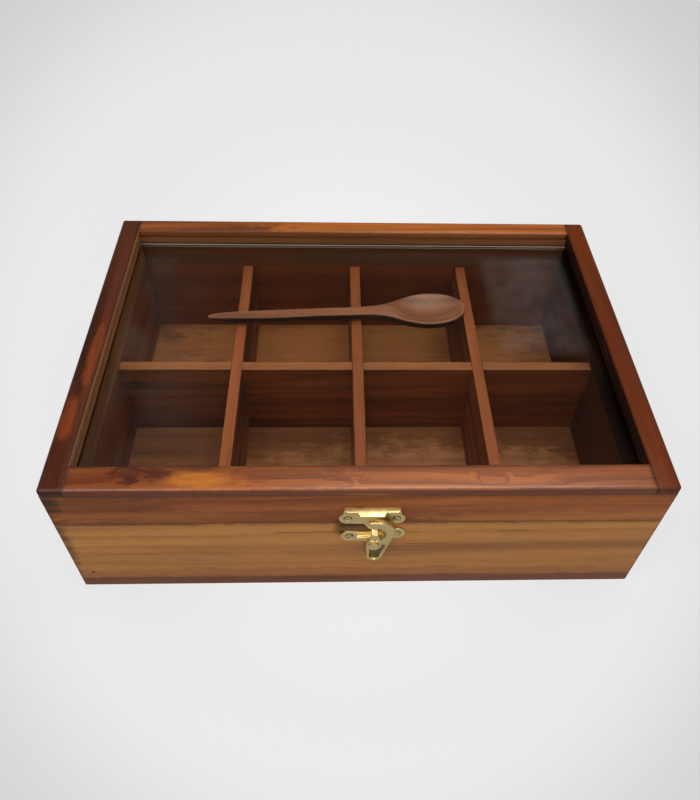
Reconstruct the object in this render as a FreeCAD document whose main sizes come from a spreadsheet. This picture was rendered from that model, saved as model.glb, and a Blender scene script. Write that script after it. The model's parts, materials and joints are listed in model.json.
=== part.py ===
import FreeCAD, Part
import math
import os
import Sketcher

# Spice box: a pinned wooden box with eight compartments, a glazed lid on two butt hinges,
# a brass swing latch at the front and a loose carved spoon on the dividers.
# Millimetres. X runs left to right, Y front to back, Z up. The origin is the centre of the
# underside, which is the face that the box stands on.

os.makedirs("parts", exist_ok=True)
doc = FreeCAD.newDocument("spice_box")
sheet = doc.addObject("Spreadsheet::Sheet", "Sizes")

sizes = {
    # Case
    "box_width": 254.0,
    "box_depth": 178.0,
    "body_height": 52.0,
    "base_thickness": 6.0,
    "side_wall": 10.0,
    "front_wall": 12.0,
    "back_wall": 10.0,
    "corner_round": 1.2,
    "edge_round": 0.5,
    # Compartments
    "divider_thickness": 5.5,
    "divider_drop": 1.0,
    "divider_seat": 2.0,
    "divider_play": 0.1,
    # Lid
    "joint_gap": 0.2,
    "joint_round": 0.2,
    "lid_height": 23.8,
    "lid_rail_thickness": 4.0,
    "lid_round": 1.4,
    "glass_thickness": 3.0,
    "glass_recess": 8.0,
    "glass_groove": 4.0,
    "glass_play": 0.3,
    # Brads
    "brad_radius": 0.8,
    "brad_play": 0.05,
    "hole_spare": 1.0,
    "brad_length": 25.0,
    "brad_cover": 1.2,
    "brad_side_inset": 7.0,
    "brad_low": 11.8,
    "brad_high": 40.0,
    "lid_brad_low": 6.0,
    "lid_brad_high": 18.0,
    "base_brad_length": 19.0,
    # Hinges
    "hinge_inset": 52.0,
    "hinge_length": 25.0,
    "leaf_width": 7.0,
    "leaf_thickness": 1.0,
    "knuckle_radius": 1.6,
    "knuckle_stand_off": 1.8,
    "knuckle_gap": 0.15,
    "pin_radius": 0.8,
    "pin_play": 0.05,
    # Screws
    "screw_radius": 1.0,
    "screw_head_radius": 1.8,
    "screw_length": 7.5,
    "screw_play": 0.05,
    "screw_slot": 0.45,
    "hinge_screw_spacing": 15.0,
    # Latch plates
    "latch_offset": 3.8,
    "plate_thickness": 1.0,
    "ear_radius": 3.7,
    "ear_spacing": 20.0,
    "ear_shoulder_angle": 60.0,
    "shoulder_rise": 1.2,
    "shoulder_flare": 0.5,
    "lid_ear_height": 4.4,
    "lid_plate_top": 12.3,
    "lid_plate_half_width": 11.3,
    "shelf_depth": 3.0,
    "shelf_corner": 1.0,
    "hood_depth": 5.0,
    "hood_left": 5.2,
    "hood_right": 4.6,
    "shelf_thickness": 0.8,
    "tongue_half_width": 4.6,
    "tongue_drop": 3.2,
    "keeper_reach": 5.4,
    "keeper_width": 2.5,
    "keeper_centre": 1.2,
    "beak_droop": 1.8,
    "beak_rise": 1.6,
    "beak_bevel": 0.8,
    "lip_half_width": 2.4,
    "lip_thickness": 0.8,
    "body_plate_right": 0.8,
    "body_plate_drop": 8.2,
    "body_plate_tilt": 6.0,
    "notch_half_width": 4.0,
    "notch_depth": 1.2,
    "hub_shoulder": 1.0,
    "hub_margin": 0.6,
    "hub_step": 0.3,
    "bead_half_length": 6.8,
    "bead_height": 2.0,
    "bead_depth": 1.2,
    "bead_overlap": 0.3,
    # Latch lever
    "pivot_drop": 3.4,
    "pivot_radius": 1.3,
    "pivot_play": 0.05,
    "pivot_head_radius": 2.6,
    "pivot_head_height": 0.8,
    "pivot_head_round": 0.5,
    "pivot_boss": 3.3,
    "hub_height": 1.45,
    "lever_thickness": 1.8,
    "lever_rim": 1.0,
    "lever_recess": 1.2,
    "recess_margin": 0.1,
    "recess_top": 0.6,
    "hook_radius": 7.6,
    "hook_rise": 10.1,
    "hook_right": 0.85,
    "hook_hole_radius": 4.9,
    "tail_length": 9.4,
    "tail_radius": 3.2,
    "tail_right": 0.45,
    # Spoon
    "spoon_length": 135.0,
    "spoon_bowl_width": 25.0,
    "spoon_handle_width": 6.0,
    "spoon_thickness": 5.6,
    "spoon_hollow": 3.4,
    "spoon_angle": 3.4,
    "spoon_play": 0.3,
    "spoon_back": 38.0,
    "spoon_overlap": 0.8,
    "spoon_rim": 1.8,
}
for row, (alias, size) in enumerate(sizes.items(), start=1):
    sheet.set(f"A{row}", str(size))
    sheet.setAlias(f"A{row}", alias)
doc.recompute()


def value(expression):
    return float(sheet.evalExpression(expression))


# Lengths that several pieces share
wall_height = "(Sizes.body_height - Sizes.base_thickness)"
inner_width = "(Sizes.box_width - 2 * Sizes.side_wall)"
inner_depth = "(Sizes.box_depth - Sizes.front_wall - Sizes.back_wall)"
inner_middle = "((Sizes.front_wall - Sizes.back_wall) / 2)"
divider_height = f"({wall_height} - Sizes.divider_drop)"
divider_pitch = f"(({inner_width} + Sizes.divider_thickness) / 4)"
slot_width = "(Sizes.divider_thickness + 2 * Sizes.divider_play)"
lid_bottom = "(Sizes.body_height + Sizes.joint_gap)"
joint_middle = "(Sizes.body_height + Sizes.joint_gap / 2)"
glass_bottom = "(Sizes.lid_height - Sizes.glass_recess - Sizes.glass_thickness)"
hole_radius = "(Sizes.brad_radius + Sizes.brad_play)"
pilot_radius = "(Sizes.screw_radius + Sizes.screw_play)"
pilot_depth = "(Sizes.screw_length + Sizes.hole_spare)"


def new_body(name, x="0", y="0", z="0"):
    body = doc.addObject("PartDesign::Body", name)
    body.Label = name
    for axis, place in zip("xyz", (x, y, z)):
        body.setExpression(f"Placement.Base.{axis}", place)
    return body


def new_sketch(body, name, plane, offset="0"):
    sketch = body.newObject("Sketcher::SketchObject", f"{body.Name}_{name}")
    support = [feature for feature in body.Origin.OriginFeatures if feature.Role == plane][0]
    sketch.AttachmentSupport = [(support, "")]
    sketch.MapMode = "FlatFace"
    sketch.setExpression("AttachmentOffset.Base.z", offset)
    return sketch


def bind(sketch, constraint, expression):
    index = sketch.addConstraint(constraint)
    sketch.setExpression(f"Constraints[{index}]", expression)


def rectangle(sketch, left, low, width, height):
    first = sketch.GeometryCount
    x, y, wide, tall = (value(expression) for expression in (left, low, width, height))
    corners = [(x, y), (x + wide, y), (x + wide, y + tall), (x, y + tall)]
    for start, end in zip(corners, corners[1:] + corners[:1]):
        sketch.addGeometry(Part.LineSegment(FreeCAD.Vector(*start), FreeCAD.Vector(*end)), False)
    for side in range(4):
        follower = first + (side + 1) % 4
        sketch.addConstraint(Sketcher.Constraint("Coincident", first + side, 2, follower, 1))
    for side in (0, 2):
        sketch.addConstraint(Sketcher.Constraint("Horizontal", first + side))
        sketch.addConstraint(Sketcher.Constraint("Vertical", first + side + 1))
    bind(sketch, Sketcher.Constraint("DistanceX", -1, 1, first, 1, x), left)
    bind(sketch, Sketcher.Constraint("DistanceY", -1, 1, first, 1, y), low)
    bind(sketch, Sketcher.Constraint("DistanceX", first, 1, first, 2, wide), width)
    bind(sketch, Sketcher.Constraint("DistanceY", first + 1, 1, first + 1, 2, tall), height)


def circle(sketch, x, y, radius):
    centre = FreeCAD.Vector(value(x), value(y))
    ring = Part.Circle(centre, FreeCAD.Vector(0, 0, 1), value(radius))
    index = sketch.addGeometry(ring, False)
    bind(sketch, Sketcher.Constraint("DistanceX", -1, 1, index, 3, centre.x), x)
    bind(sketch, Sketcher.Constraint("DistanceY", -1, 1, index, 3, centre.y), y)
    bind(sketch, Sketcher.Constraint("Radius", index, value(radius)), radius)


def outline(sketch, corners):
    # A corner is (x, y), or (x, y, middle) where the edge to the next corner is an arc through
    # the middle point.
    points = [FreeCAD.Vector(value(corner[0]), value(corner[1])) for corner in corners]
    first = sketch.GeometryCount
    count = len(corners)
    starts = []
    for number, corner in enumerate(corners):
        start, end = points[number], points[(number + 1) % count]
        if len(corner) == 2:
            sketch.addGeometry(Part.LineSegment(start, end), False)
            starts.append((1, 2))
            continue
        middle = FreeCAD.Vector(value(corner[2][0]), value(corner[2][1]))
        arc = Part.Arc(start, middle, end)
        index = sketch.addGeometry(arc, False)
        radius = arc.toShape().Curve.Radius
        # A half circle already has its radius from its two ends
        if start.distanceToPoint(end) < 1.99 * radius:
            sketch.addConstraint(Sketcher.Constraint("Radius", index, radius))
        turn = (middle - start).cross(end - start).z
        starts.append((1, 2) if turn > 0 else (2, 1))
    for number, corner in enumerate(corners):
        follower = (number + 1) % count
        start_point, end_point = starts[number][0], starts[number][1]
        sketch.addConstraint(Sketcher.Constraint(
            "Coincident", first + number, end_point, first + follower, starts[follower][0]))
        at = points[number]
        across = Sketcher.Constraint("DistanceX", -1, 1, first + number, start_point, at.x)
        bind(sketch, across, corner[0])
        up = Sketcher.Constraint("DistanceY", -1, 1, first + number, start_point, at.y)
        bind(sketch, up, corner[1])


def pad(body, sketch, length, backwards=False):
    feature = body.newObject("PartDesign::Pad", f"{sketch.Name}_pad")
    feature.Profile = sketch
    feature.setExpression("Length", length)
    feature.Reversed = backwards
    body.Tip = feature
    doc.recompute()
    return feature


def pocket(body, sketch, length, backwards=False):
    before = body.Shape.Volume
    feature = body.newObject("PartDesign::Pocket", f"{sketch.Name}_pocket")
    feature.Profile = sketch
    feature.setExpression("Length", length)
    feature.Reversed = backwards
    body.Tip = feature
    doc.recompute()
    if body.Shape.Volume > before - 0.01:
        raise RuntimeError(f"{feature.Name} cuts nothing")
    return feature


def dress(body, kind, name, size, test):
    # Rounds or bevels the edges whose middle point passes the test.
    base = body.Tip
    box = base.Shape.BoundBox
    edges = [
        f"Edge{number}" for number, edge in enumerate(base.Shape.Edges, start=1)
        if test(edge.CenterOfMass, box)
    ]
    feature = body.newObject(f"PartDesign::{kind}", f"{body.Name}_{name}")
    feature.Base = (base, edges)
    feature.setExpression("Radius" if kind == "Fillet" else "Size", size)
    body.Tip = feature
    doc.recompute()
    return feature


def near(first, second):
    return abs(first - second) < 0.001


# Base board: the walls stand on it, and its edge shows all round as a strip
base = new_body("base_board", x="-Sizes.box_width / 2", y="-Sizes.box_depth / 2")
sketch = new_sketch(base, "outline", "XY_Plane")
rectangle(sketch, "0", "0", "Sizes.box_width", "Sizes.box_depth")
pad(base, sketch, "Sizes.base_thickness")
dress(base, "Fillet", "corners", "Sizes.corner_round",
      lambda at, box: near(at.z, (box.ZMin + box.ZMax) / 2)
      and (near(at.x, box.XMin) or near(at.x, box.XMax))
      and (near(at.y, box.YMin) or near(at.y, box.YMax)))
dress(base, "Fillet", "top", "Sizes.joint_round", lambda at, box: near(at.z, box.ZMax))

base_brad_x = ["-Sizes.box_width / 2 + Sizes.side_wall / 2", "-Sizes.box_width / 4", "0",
               "Sizes.box_width / 4", "Sizes.box_width / 2 - Sizes.side_wall / 2"]
front_line = "(-Sizes.box_depth / 2 + Sizes.front_wall / 2)"
back_line = "(Sizes.box_depth / 2 - Sizes.back_wall / 2)"
base_brad_places = [(x, y) for x in base_brad_x[1:4] for y in (front_line, back_line)]
base_brad_places += [(x, inner_middle) for x in (base_brad_x[0], base_brad_x[4])]
sketch = new_sketch(base, "brad_holes", "XY_Plane")
for x, y in base_brad_places:
    circle(sketch, f"{x} + Sizes.box_width / 2", f"{y} + Sizes.box_depth / 2", hole_radius)
pocket(base, sketch, "Sizes.base_thickness", backwards=True)


def outer_corners(at, box):
    on_side = near(at.x, box.XMin) or near(at.x, box.XMax)
    return near(at.y, box.YMin) and on_side and near(at.z, (box.ZMin + box.ZMax) / 2)


half_width = "Sizes.box_width / 2"
hinge_reach = f"({half_width} - Sizes.hinge_inset)"
hinge_centres = [f"-{hinge_reach}", hinge_reach]
hinge_screw_x = [f"({centre} {side} Sizes.hinge_screw_spacing / 2)"
                 for centre in hinge_centres for side in "-+"]
divider_x = [f"(-{divider_pitch})", "0", divider_pitch]
corner_brad_x = ["Sizes.brad_side_inset", "(Sizes.box_width - Sizes.brad_side_inset)"]
corner_brad_z = [f"(Sizes.brad_{level} - Sizes.base_thickness)" for level in ("low", "high")]
base_brad_depth = "(Sizes.base_brad_length - Sizes.base_thickness + Sizes.hole_spare)"
leaf_recess_length = "(Sizes.hinge_length + 2 * Sizes.divider_play)"
leaf_recess_depth = "(Sizes.leaf_width + Sizes.divider_play)"

# Front and back walls run the full width. Each is drawn with its outer face at local Y 0, and
# the back wall is turned half round, so that the same drawing serves both.
for name, turn in (("front_wall", 0), ("back_wall", 180)):
    thickness = f"Sizes.{name}"
    wall = new_body(name, x=f"-{half_width}", y="-Sizes.box_depth / 2", z="Sizes.base_thickness")
    if turn:
        wall.Placement.Rotation = FreeCAD.Rotation(FreeCAD.Vector(0, 0, 1), turn)
        wall.setExpression("Placement.Base.x", half_width)
        wall.setExpression("Placement.Base.y", "Sizes.box_depth / 2")
    sketch = new_sketch(wall, "outline", "XY_Plane")
    rectangle(sketch, "0", "0", "Sizes.box_width", thickness)
    pad(wall, sketch, wall_height)
    dress(wall, "Fillet", "corners", "Sizes.corner_round", outer_corners)
    dress(wall, "Fillet", "top", "Sizes.joint_round", lambda at, box: near(at.z, box.ZMax)
          and not near(at.y, box.YMax))
    # Housings for the cross dividers
    sketch = new_sketch(wall, "housings", "XY_Plane")
    for x in divider_x:
        left = f"{half_width} + {x} - {slot_width} / 2"
        rectangle(sketch, left, f"{thickness} - Sizes.divider_seat", slot_width, "Sizes.divider_seat")
    pocket(wall, sketch, divider_height, backwards=True)
    # Brad holes into the ends of the side walls, stopped over where the filling covers the brads
    sketch = new_sketch(wall, "brad_holes", "XZ_Plane", f"-{thickness}")
    for x in corner_brad_x:
        for z in corner_brad_z:
            circle(sketch, x, z, hole_radius)
    pocket(wall, sketch, f"{thickness} - Sizes.brad_cover", backwards=True)
    # Brad holes up from the base board
    sketch = new_sketch(wall, "base_brad_holes", "XY_Plane")
    for x in base_brad_x[1:4]:
        circle(sketch, f"{half_width} + {x}", f"{thickness} / 2", hole_radius)
    pocket(wall, sketch, base_brad_depth, backwards=True)
    if name == "front_wall":
        # The one brad hole whose filling is lost, and the holes of the latch plate's screws
        sketch = new_sketch(wall, "open_hole", "XZ_Plane")
        circle(sketch, corner_brad_x[0], corner_brad_z[0], hole_radius)
        pocket(wall, sketch, "Sizes.brad_cover + Sizes.hole_spare")
        sketch = new_sketch(wall, "latch_screw_holes", "XZ_Plane")
        tilt = "Sizes.body_plate_tilt"
        for side in "-+":
            circle(sketch,
                   f"{half_width} + Sizes.latch_offset + Sizes.body_plate_right"
                   f" {side} Sizes.ear_spacing / 2 * cos({tilt} * 1 deg)",
                   f"{joint_middle} - Sizes.base_thickness - Sizes.body_plate_drop"
                   f" {side} Sizes.ear_spacing / 2 * sin({tilt} * 1 deg)",
                   pilot_radius)
        pocket(wall, sketch, pilot_depth)
    else:
        # Recesses for the hinge leaves and holes for their screws
        sketch = new_sketch(wall, "leaf_recesses", "XY_Plane", wall_height)
        for centre in hinge_centres:
            left = f"{half_width} + {centre} - {leaf_recess_length} / 2"
            rectangle(sketch, left, "0", leaf_recess_length, leaf_recess_depth)
        pocket(wall, sketch, "Sizes.leaf_thickness")
        sketch = new_sketch(wall, "hinge_screw_holes", "XY_Plane", wall_height)
        for x in hinge_screw_x:
            circle(sketch, f"{half_width} + {x}", "Sizes.leaf_width / 2", pilot_radius)
        pocket(wall, sketch, pilot_depth)


def end_brad_holes(wall, turn, levels):
    # In both ends of a side wall, for the brads from the front and back walls
    front, back = ("Sizes.front_wall", "Sizes.back_wall")[:: -1 if turn else 1]
    ends = (("front", "0", front, False), ("back", f"-{inner_depth}", back, True))
    for end, offset, through, backwards in ends:
        sketch = new_sketch(wall, f"{end}_brad_holes", "XZ_Plane", offset)
        for z in levels:
            circle(sketch, "Sizes.brad_side_inset", z, hole_radius)
        depth = f"Sizes.brad_length - {through} + Sizes.brad_cover + Sizes.hole_spare"
        pocket(wall, sketch, depth, backwards=backwards)


# Side walls stand between the front and back walls. The right wall is the left one turned round.
for name, turn in (("left_wall", 0), ("right_wall", 180)):
    wall = new_body(name, x=f"-{half_width}", y="-Sizes.box_depth / 2 + Sizes.front_wall",
                    z="Sizes.base_thickness")
    if turn:
        wall.Placement.Rotation = FreeCAD.Rotation(FreeCAD.Vector(0, 0, 1), turn)
        wall.setExpression("Placement.Base.x", half_width)
        wall.setExpression("Placement.Base.y", "Sizes.box_depth / 2 - Sizes.back_wall")
    sketch = new_sketch(wall, "outline", "XY_Plane")
    rectangle(sketch, "0", "0", "Sizes.side_wall", inner_depth)
    pad(wall, sketch, wall_height)
    dress(wall, "Fillet", "top", "Sizes.joint_round", lambda at, box: near(at.z, box.ZMax)
          and near(at.x, box.XMin))
    # Housing for the long divider
    sketch = new_sketch(wall, "housing", "XY_Plane")
    low = f"({inner_depth} - {slot_width}) / 2"
    rectangle(sketch, "Sizes.side_wall - Sizes.divider_seat", low, "Sizes.divider_seat", slot_width)
    pocket(wall, sketch, divider_height, backwards=True)
    end_brad_holes(wall, turn, corner_brad_z)
    sketch = new_sketch(wall, "base_brad_hole", "XY_Plane")
    circle(sketch, "Sizes.side_wall / 2", f"{inner_depth} / 2", hole_radius)
    pocket(wall, sketch, base_brad_depth, backwards=True)

# Dividers: the long one is slotted from above and the cross ones from below, each to half height
long_length = f"({inner_width} + 2 * Sizes.divider_seat - 2 * Sizes.divider_play)"
divider = new_body("long_divider", x=f"-{long_length} / 2",
                   y=f"{inner_middle} - Sizes.divider_thickness / 2", z="Sizes.base_thickness")
sketch = new_sketch(divider, "outline", "XY_Plane")
rectangle(sketch, "0", "0", long_length, "Sizes.divider_thickness")
pad(divider, sketch, divider_height)
dress(divider, "Fillet", "top", "Sizes.edge_round", lambda at, box: near(at.z, box.ZMax)
      and near(at.x, (box.XMin + box.XMax) / 2))
sketch = new_sketch(divider, "slots", "XY_Plane", divider_height)
for x in divider_x:
    left = f"{long_length} / 2 + {x} - {slot_width} / 2"
    rectangle(sketch, left, "0", slot_width, "Sizes.divider_thickness")
pocket(divider, sketch, f"{divider_height} / 2")

cross_length = f"({inner_depth} + 2 * Sizes.divider_seat - 2 * Sizes.divider_play)"
for name, x in zip(("left", "middle", "right"), divider_x):
    divider = new_body(f"cross_divider_{name}", x=f"{x} - Sizes.divider_thickness / 2",
                       y=f"{inner_middle} - {cross_length} / 2", z="Sizes.base_thickness")
    sketch = new_sketch(divider, "outline", "XY_Plane")
    rectangle(sketch, "0", "0", "Sizes.divider_thickness", cross_length)
    pad(divider, sketch, divider_height)
    dress(divider, "Fillet", "top", "Sizes.edge_round", lambda at, box: near(at.z, box.ZMax)
          and near(at.y, (box.YMin + box.YMax) / 2))
    sketch = new_sketch(divider, "slot", "XY_Plane")
    low = f"({cross_length} - {slot_width}) / 2"
    rectangle(sketch, "0", low, "Sizes.divider_thickness", slot_width)
    pocket(divider, sketch, f"{divider_height} / 2", backwards=True)

# Lid walls: they meet as the case's walls do, and carry the glass in a groove
lid_wall_height = "(Sizes.lid_height - Sizes.lid_rail_thickness)"
groove_low = glass_bottom
groove_height = "(Sizes.glass_thickness + Sizes.glass_play)"
lid_brad_z = ["Sizes.lid_brad_low", "Sizes.lid_brad_high"]
for name, thickness, turn in (("lid_front_wall", "Sizes.front_wall", 0),
                              ("lid_back_wall", "Sizes.back_wall", 180)):
    wall = new_body(name, x=f"-{half_width}", y="-Sizes.box_depth / 2", z=lid_bottom)
    if turn:
        wall.Placement.Rotation = FreeCAD.Rotation(FreeCAD.Vector(0, 0, 1), turn)
        wall.setExpression("Placement.Base.x", half_width)
        wall.setExpression("Placement.Base.y", "Sizes.box_depth / 2")
    sketch = new_sketch(wall, "outline", "XY_Plane")
    rectangle(sketch, "0", "0", "Sizes.box_width", thickness)
    pad(wall, sketch, lid_wall_height)
    dress(wall, "Fillet", "corners", "Sizes.corner_round", outer_corners)
    dress(wall, "Fillet", "joint_edges", "Sizes.joint_round",
          lambda at, box: (near(at.z, box.ZMin) or near(at.z, box.ZMax)) and not near(at.y, box.YMax))
    # The glass groove stops short of both ends
    sketch = new_sketch(wall, "glass_groove", "YZ_Plane", "Sizes.side_wall - Sizes.glass_groove")
    groove = f"{thickness} - Sizes.glass_groove"
    rectangle(sketch, groove, groove_low, "Sizes.glass_groove", groove_height)
    pocket(wall, sketch, f"{inner_width} + 2 * Sizes.glass_groove", backwards=True)
    sketch = new_sketch(wall, "brad_holes", "XZ_Plane", f"-{thickness}")
    for x in corner_brad_x:
        for z in lid_brad_z:
            circle(sketch, x, z, hole_radius)
    pocket(wall, sketch, f"{thickness} - Sizes.brad_cover", backwards=True)
    if name == "lid_front_wall":
        sketch = new_sketch(wall, "latch_screw_holes", "XZ_Plane")
        for side in "-+":
            circle(sketch, f"{half_width} + Sizes.latch_offset {side} Sizes.ear_spacing / 2",
                   "Sizes.lid_ear_height - Sizes.joint_gap / 2", pilot_radius)
        pocket(wall, sketch, pilot_depth)
    else:
        sketch = new_sketch(wall, "leaf_recesses", "XY_Plane")
        for centre in hinge_centres:
            left = f"{half_width} + {centre} - {leaf_recess_length} / 2"
            rectangle(sketch, left, "0", leaf_recess_length, leaf_recess_depth)
        pocket(wall, sketch, "Sizes.leaf_thickness", backwards=True)
        sketch = new_sketch(wall, "hinge_screw_holes", "XY_Plane")
        for x in hinge_screw_x:
            circle(sketch, f"{half_width} + {x}", "Sizes.leaf_width / 2", pilot_radius)
        pocket(wall, sketch, pilot_depth, backwards=True)

for name, turn in (("lid_left_wall", 0), ("lid_right_wall", 180)):
    wall = new_body(name, x=f"-{half_width}", y="-Sizes.box_depth / 2 + Sizes.front_wall", z=lid_bottom)
    if turn:
        wall.Placement.Rotation = FreeCAD.Rotation(FreeCAD.Vector(0, 0, 1), turn)
        wall.setExpression("Placement.Base.x", half_width)
        wall.setExpression("Placement.Base.y", "Sizes.box_depth / 2 - Sizes.back_wall")
    sketch = new_sketch(wall, "outline", "XY_Plane")
    rectangle(sketch, "0", "0", "Sizes.side_wall", inner_depth)
    pad(wall, sketch, lid_wall_height)
    dress(wall, "Fillet", "joint_edges", "Sizes.joint_round",
          lambda at, box: (near(at.z, box.ZMin) or near(at.z, box.ZMax)) and near(at.x, box.XMin))
    sketch = new_sketch(wall, "glass_groove", "XZ_Plane")
    groove = "Sizes.side_wall - Sizes.glass_groove"
    rectangle(sketch, groove, groove_low, "Sizes.glass_groove", groove_height)
    pocket(wall, sketch, inner_depth)
    end_brad_holes(wall, turn, lid_brad_z)

# Top frame: flat rails glued on the lid's walls. The side rails run the full depth, and the
# front and back rails fit between them.
rail_bottom = f"({lid_bottom} + {lid_wall_height})"
for name, thickness, turn in (("lid_front_rail", "Sizes.front_wall", 0),
                              ("lid_back_rail", "Sizes.back_wall", 180)):
    rail = new_body(name, x=f"-{inner_width} / 2", y="-Sizes.box_depth / 2", z=rail_bottom)
    if turn:
        rail.Placement.Rotation = FreeCAD.Rotation(FreeCAD.Vector(0, 0, 1), turn)
        rail.setExpression("Placement.Base.x", f"{inner_width} / 2")
        rail.setExpression("Placement.Base.y", "Sizes.box_depth / 2")
    sketch = new_sketch(rail, "outline", "XY_Plane")
    rectangle(sketch, "0", "0", inner_width, thickness)
    pad(rail, sketch, "Sizes.lid_rail_thickness")
    dress(rail, "Fillet", "outer_edge", "Sizes.lid_round",
          lambda at, box: near(at.z, box.ZMax) and near(at.y, box.YMin))
    dress(rail, "Fillet", "inner_edge", "Sizes.edge_round",
          lambda at, box: near(at.z, box.ZMax) and near(at.y, box.YMax))
    dress(rail, "Fillet", "joint_edge", "Sizes.joint_round",
          lambda at, box: near(at.z, box.ZMin) and near(at.y, box.YMin))


def outer_rail_edges(at, box):
    upright = near(at.z, (box.ZMin + box.ZMax) / 2) and near(at.x, box.XMin)
    top = near(at.z, box.ZMax) and not near(at.x, box.XMax)
    return upright or top


for name, turn in (("lid_left_rail", 0), ("lid_right_rail", 180)):
    rail = new_body(name, x=f"-{half_width}", y="-Sizes.box_depth / 2", z=rail_bottom)
    if turn:
        rail.Placement.Rotation = FreeCAD.Rotation(FreeCAD.Vector(0, 0, 1), turn)
        rail.setExpression("Placement.Base.x", half_width)
        rail.setExpression("Placement.Base.y", "Sizes.box_depth / 2")
    sketch = new_sketch(rail, "outline", "XY_Plane")
    rectangle(sketch, "0", "0", "Sizes.side_wall", "Sizes.box_depth")
    pad(rail, sketch, "Sizes.lid_rail_thickness")
    dress(rail, "Fillet", "outer_edges", "Sizes.lid_round", outer_rail_edges)
    dress(rail, "Fillet", "inner_edge", "Sizes.edge_round",
          lambda at, box: near(at.z, box.ZMax) and near(at.x, box.XMax))
    dress(rail, "Fillet", "joint_edge", "Sizes.joint_round",
          lambda at, box: near(at.z, box.ZMin) and near(at.x, box.XMin)
          and near(at.y, (box.YMin + box.YMax) / 2))

# Glass pane, loose in the grooves by the play on each side
pane_width = f"({inner_width} + 2 * Sizes.glass_groove - 2 * Sizes.glass_play)"
pane_depth = f"({inner_depth} + 2 * Sizes.glass_groove - 2 * Sizes.glass_play)"
glass = new_body("lid_glass", x=f"-{pane_width} / 2", y=f"{inner_middle} - {pane_depth} / 2",
                 z=f"{lid_bottom} + {glass_bottom}")
sketch = new_sketch(glass, "outline", "XY_Plane")
rectangle(sketch, "0", "0", pane_width, pane_depth)
pad(glass, sketch, "Sizes.glass_thickness")

# Hinges: each leaf is a plate let into the edge, with knuckles round a pin behind the back face
pin_y = "(Sizes.box_depth / 2 + Sizes.knuckle_stand_off)"
knuckle = "(Sizes.hinge_length / 5)"
for side, centre in zip(("left", "right"), hinge_centres):
    for part, knuckles, lift in (("body", (0, 2, 4), -1), ("lid", (1, 3), 1)):
        leaf = new_body(f"hinge_{side}_{part}_leaf", x=f"{centre} - Sizes.hinge_length / 2", y=pin_y,
                        z=joint_middle)
        low = "Sizes.joint_gap / 2"
        if lift < 0:
            low = "-Sizes.joint_gap / 2 - Sizes.leaf_thickness"
        sketch = new_sketch(leaf, "leaf", "YZ_Plane")
        rectangle(sketch, "-Sizes.knuckle_stand_off - Sizes.leaf_width", low,
                  "Sizes.knuckle_stand_off + Sizes.leaf_width", "Sizes.leaf_thickness")
        pad(leaf, sketch, "Sizes.hinge_length")
        sketch = new_sketch(leaf, "knuckles", "YZ_Plane")
        circle(sketch, "0", "0", "Sizes.knuckle_radius")
        pad(leaf, sketch, "Sizes.hinge_length")
        # Room for the other leaf's knuckles
        sketch = new_sketch(leaf, "gaps", "XY_Plane", "-Sizes.knuckle_radius")
        for number in range(5):
            if number in knuckles:
                continue
            start = f"{number} * {knuckle} - Sizes.knuckle_gap" if number else "0"
            ends = 2 if 0 < number < 4 else 1
            swept = "(Sizes.knuckle_radius + Sizes.knuckle_gap)"
            width = f"{knuckle} + {ends} * Sizes.knuckle_gap"
            rectangle(sketch, start, f"-{swept}", width, f"2 * {swept}")
        pocket(leaf, sketch, "2 * Sizes.knuckle_radius", backwards=True)
        sketch = new_sketch(leaf, "bore", "YZ_Plane")
        circle(sketch, "0", "0", "Sizes.pin_radius + Sizes.pin_play")
        pocket(leaf, sketch, "Sizes.hinge_length", backwards=True)
        sketch = new_sketch(leaf, "screw_holes", "XY_Plane", low)
        screw_line = "(Sizes.knuckle_stand_off + Sizes.leaf_width / 2)"
        for end in "-+":
            x = f"(Sizes.hinge_length {end} Sizes.hinge_screw_spacing) / 2"
            circle(sketch, x, f"-{screw_line}", pilot_radius)
        pocket(leaf, sketch, "Sizes.leaf_thickness", backwards=True)
        level = value(f"{low} + Sizes.leaf_thickness") if lift < 0 else value(low)
        screw_y = -value(screw_line)
        dress(leaf, "Chamfer", "countersinks", "Sizes.screw_head_radius - Sizes.screw_radius",
              lambda at, box: near(at.z, level) and near(at.y, screw_y)
              and box.XMin + 1 < at.x < box.XMax - 1)

    pin = doc.addObject("Part::Cylinder", f"hinge_{side}_pin")
    pin.setExpression("Radius", "Sizes.pin_radius")
    pin.setExpression("Height", "Sizes.hinge_length")
    pin.Placement.Rotation = FreeCAD.Rotation(FreeCAD.Vector(0, 1, 0), 90)
    pin.setExpression("Placement.Base.x", f"{centre} - Sizes.hinge_length / 2")
    pin.setExpression("Placement.Base.y", pin_y)
    pin.setExpression("Placement.Base.z", joint_middle)


def turned(profile):
    # A solid of revolution about Z from (radius, height) points
    points = [FreeCAD.Vector(radius, 0, height) for radius, height in profile]
    face = Part.Face(Part.makePolygon(points + points[:1]))
    return face.revolve(FreeCAD.Vector(0, 0, 0), FreeCAD.Vector(0, 0, 1), 360)


def set_of(name, solid, places):
    # Separate copies of one solid, each driven from its place along its direction
    copies = []
    for place, direction in places:
        copy = solid.copy()
        turn = FreeCAD.Rotation(FreeCAD.Vector(0, 0, 1), FreeCAD.Vector(*direction))
        copy.Placement = FreeCAD.Placement(FreeCAD.Vector(*place), turn)
        copies.append(copy)
    feature = doc.addObject("Part::Feature", name)
    feature.Shape = Part.makeCompound(copies)
    return feature


# Fasteners
brad_radius = value("Sizes.brad_radius")
brad_length = value("Sizes.brad_length")
cover = value("Sizes.brad_cover")
half_box = value(half_width)
front_face = -value("Sizes.box_depth / 2")
back_face = -front_face


def brad(length):
    return turned([(0, 0), (brad_radius, 0), (brad_radius, length - 2 * brad_radius), (0, length)])


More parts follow.
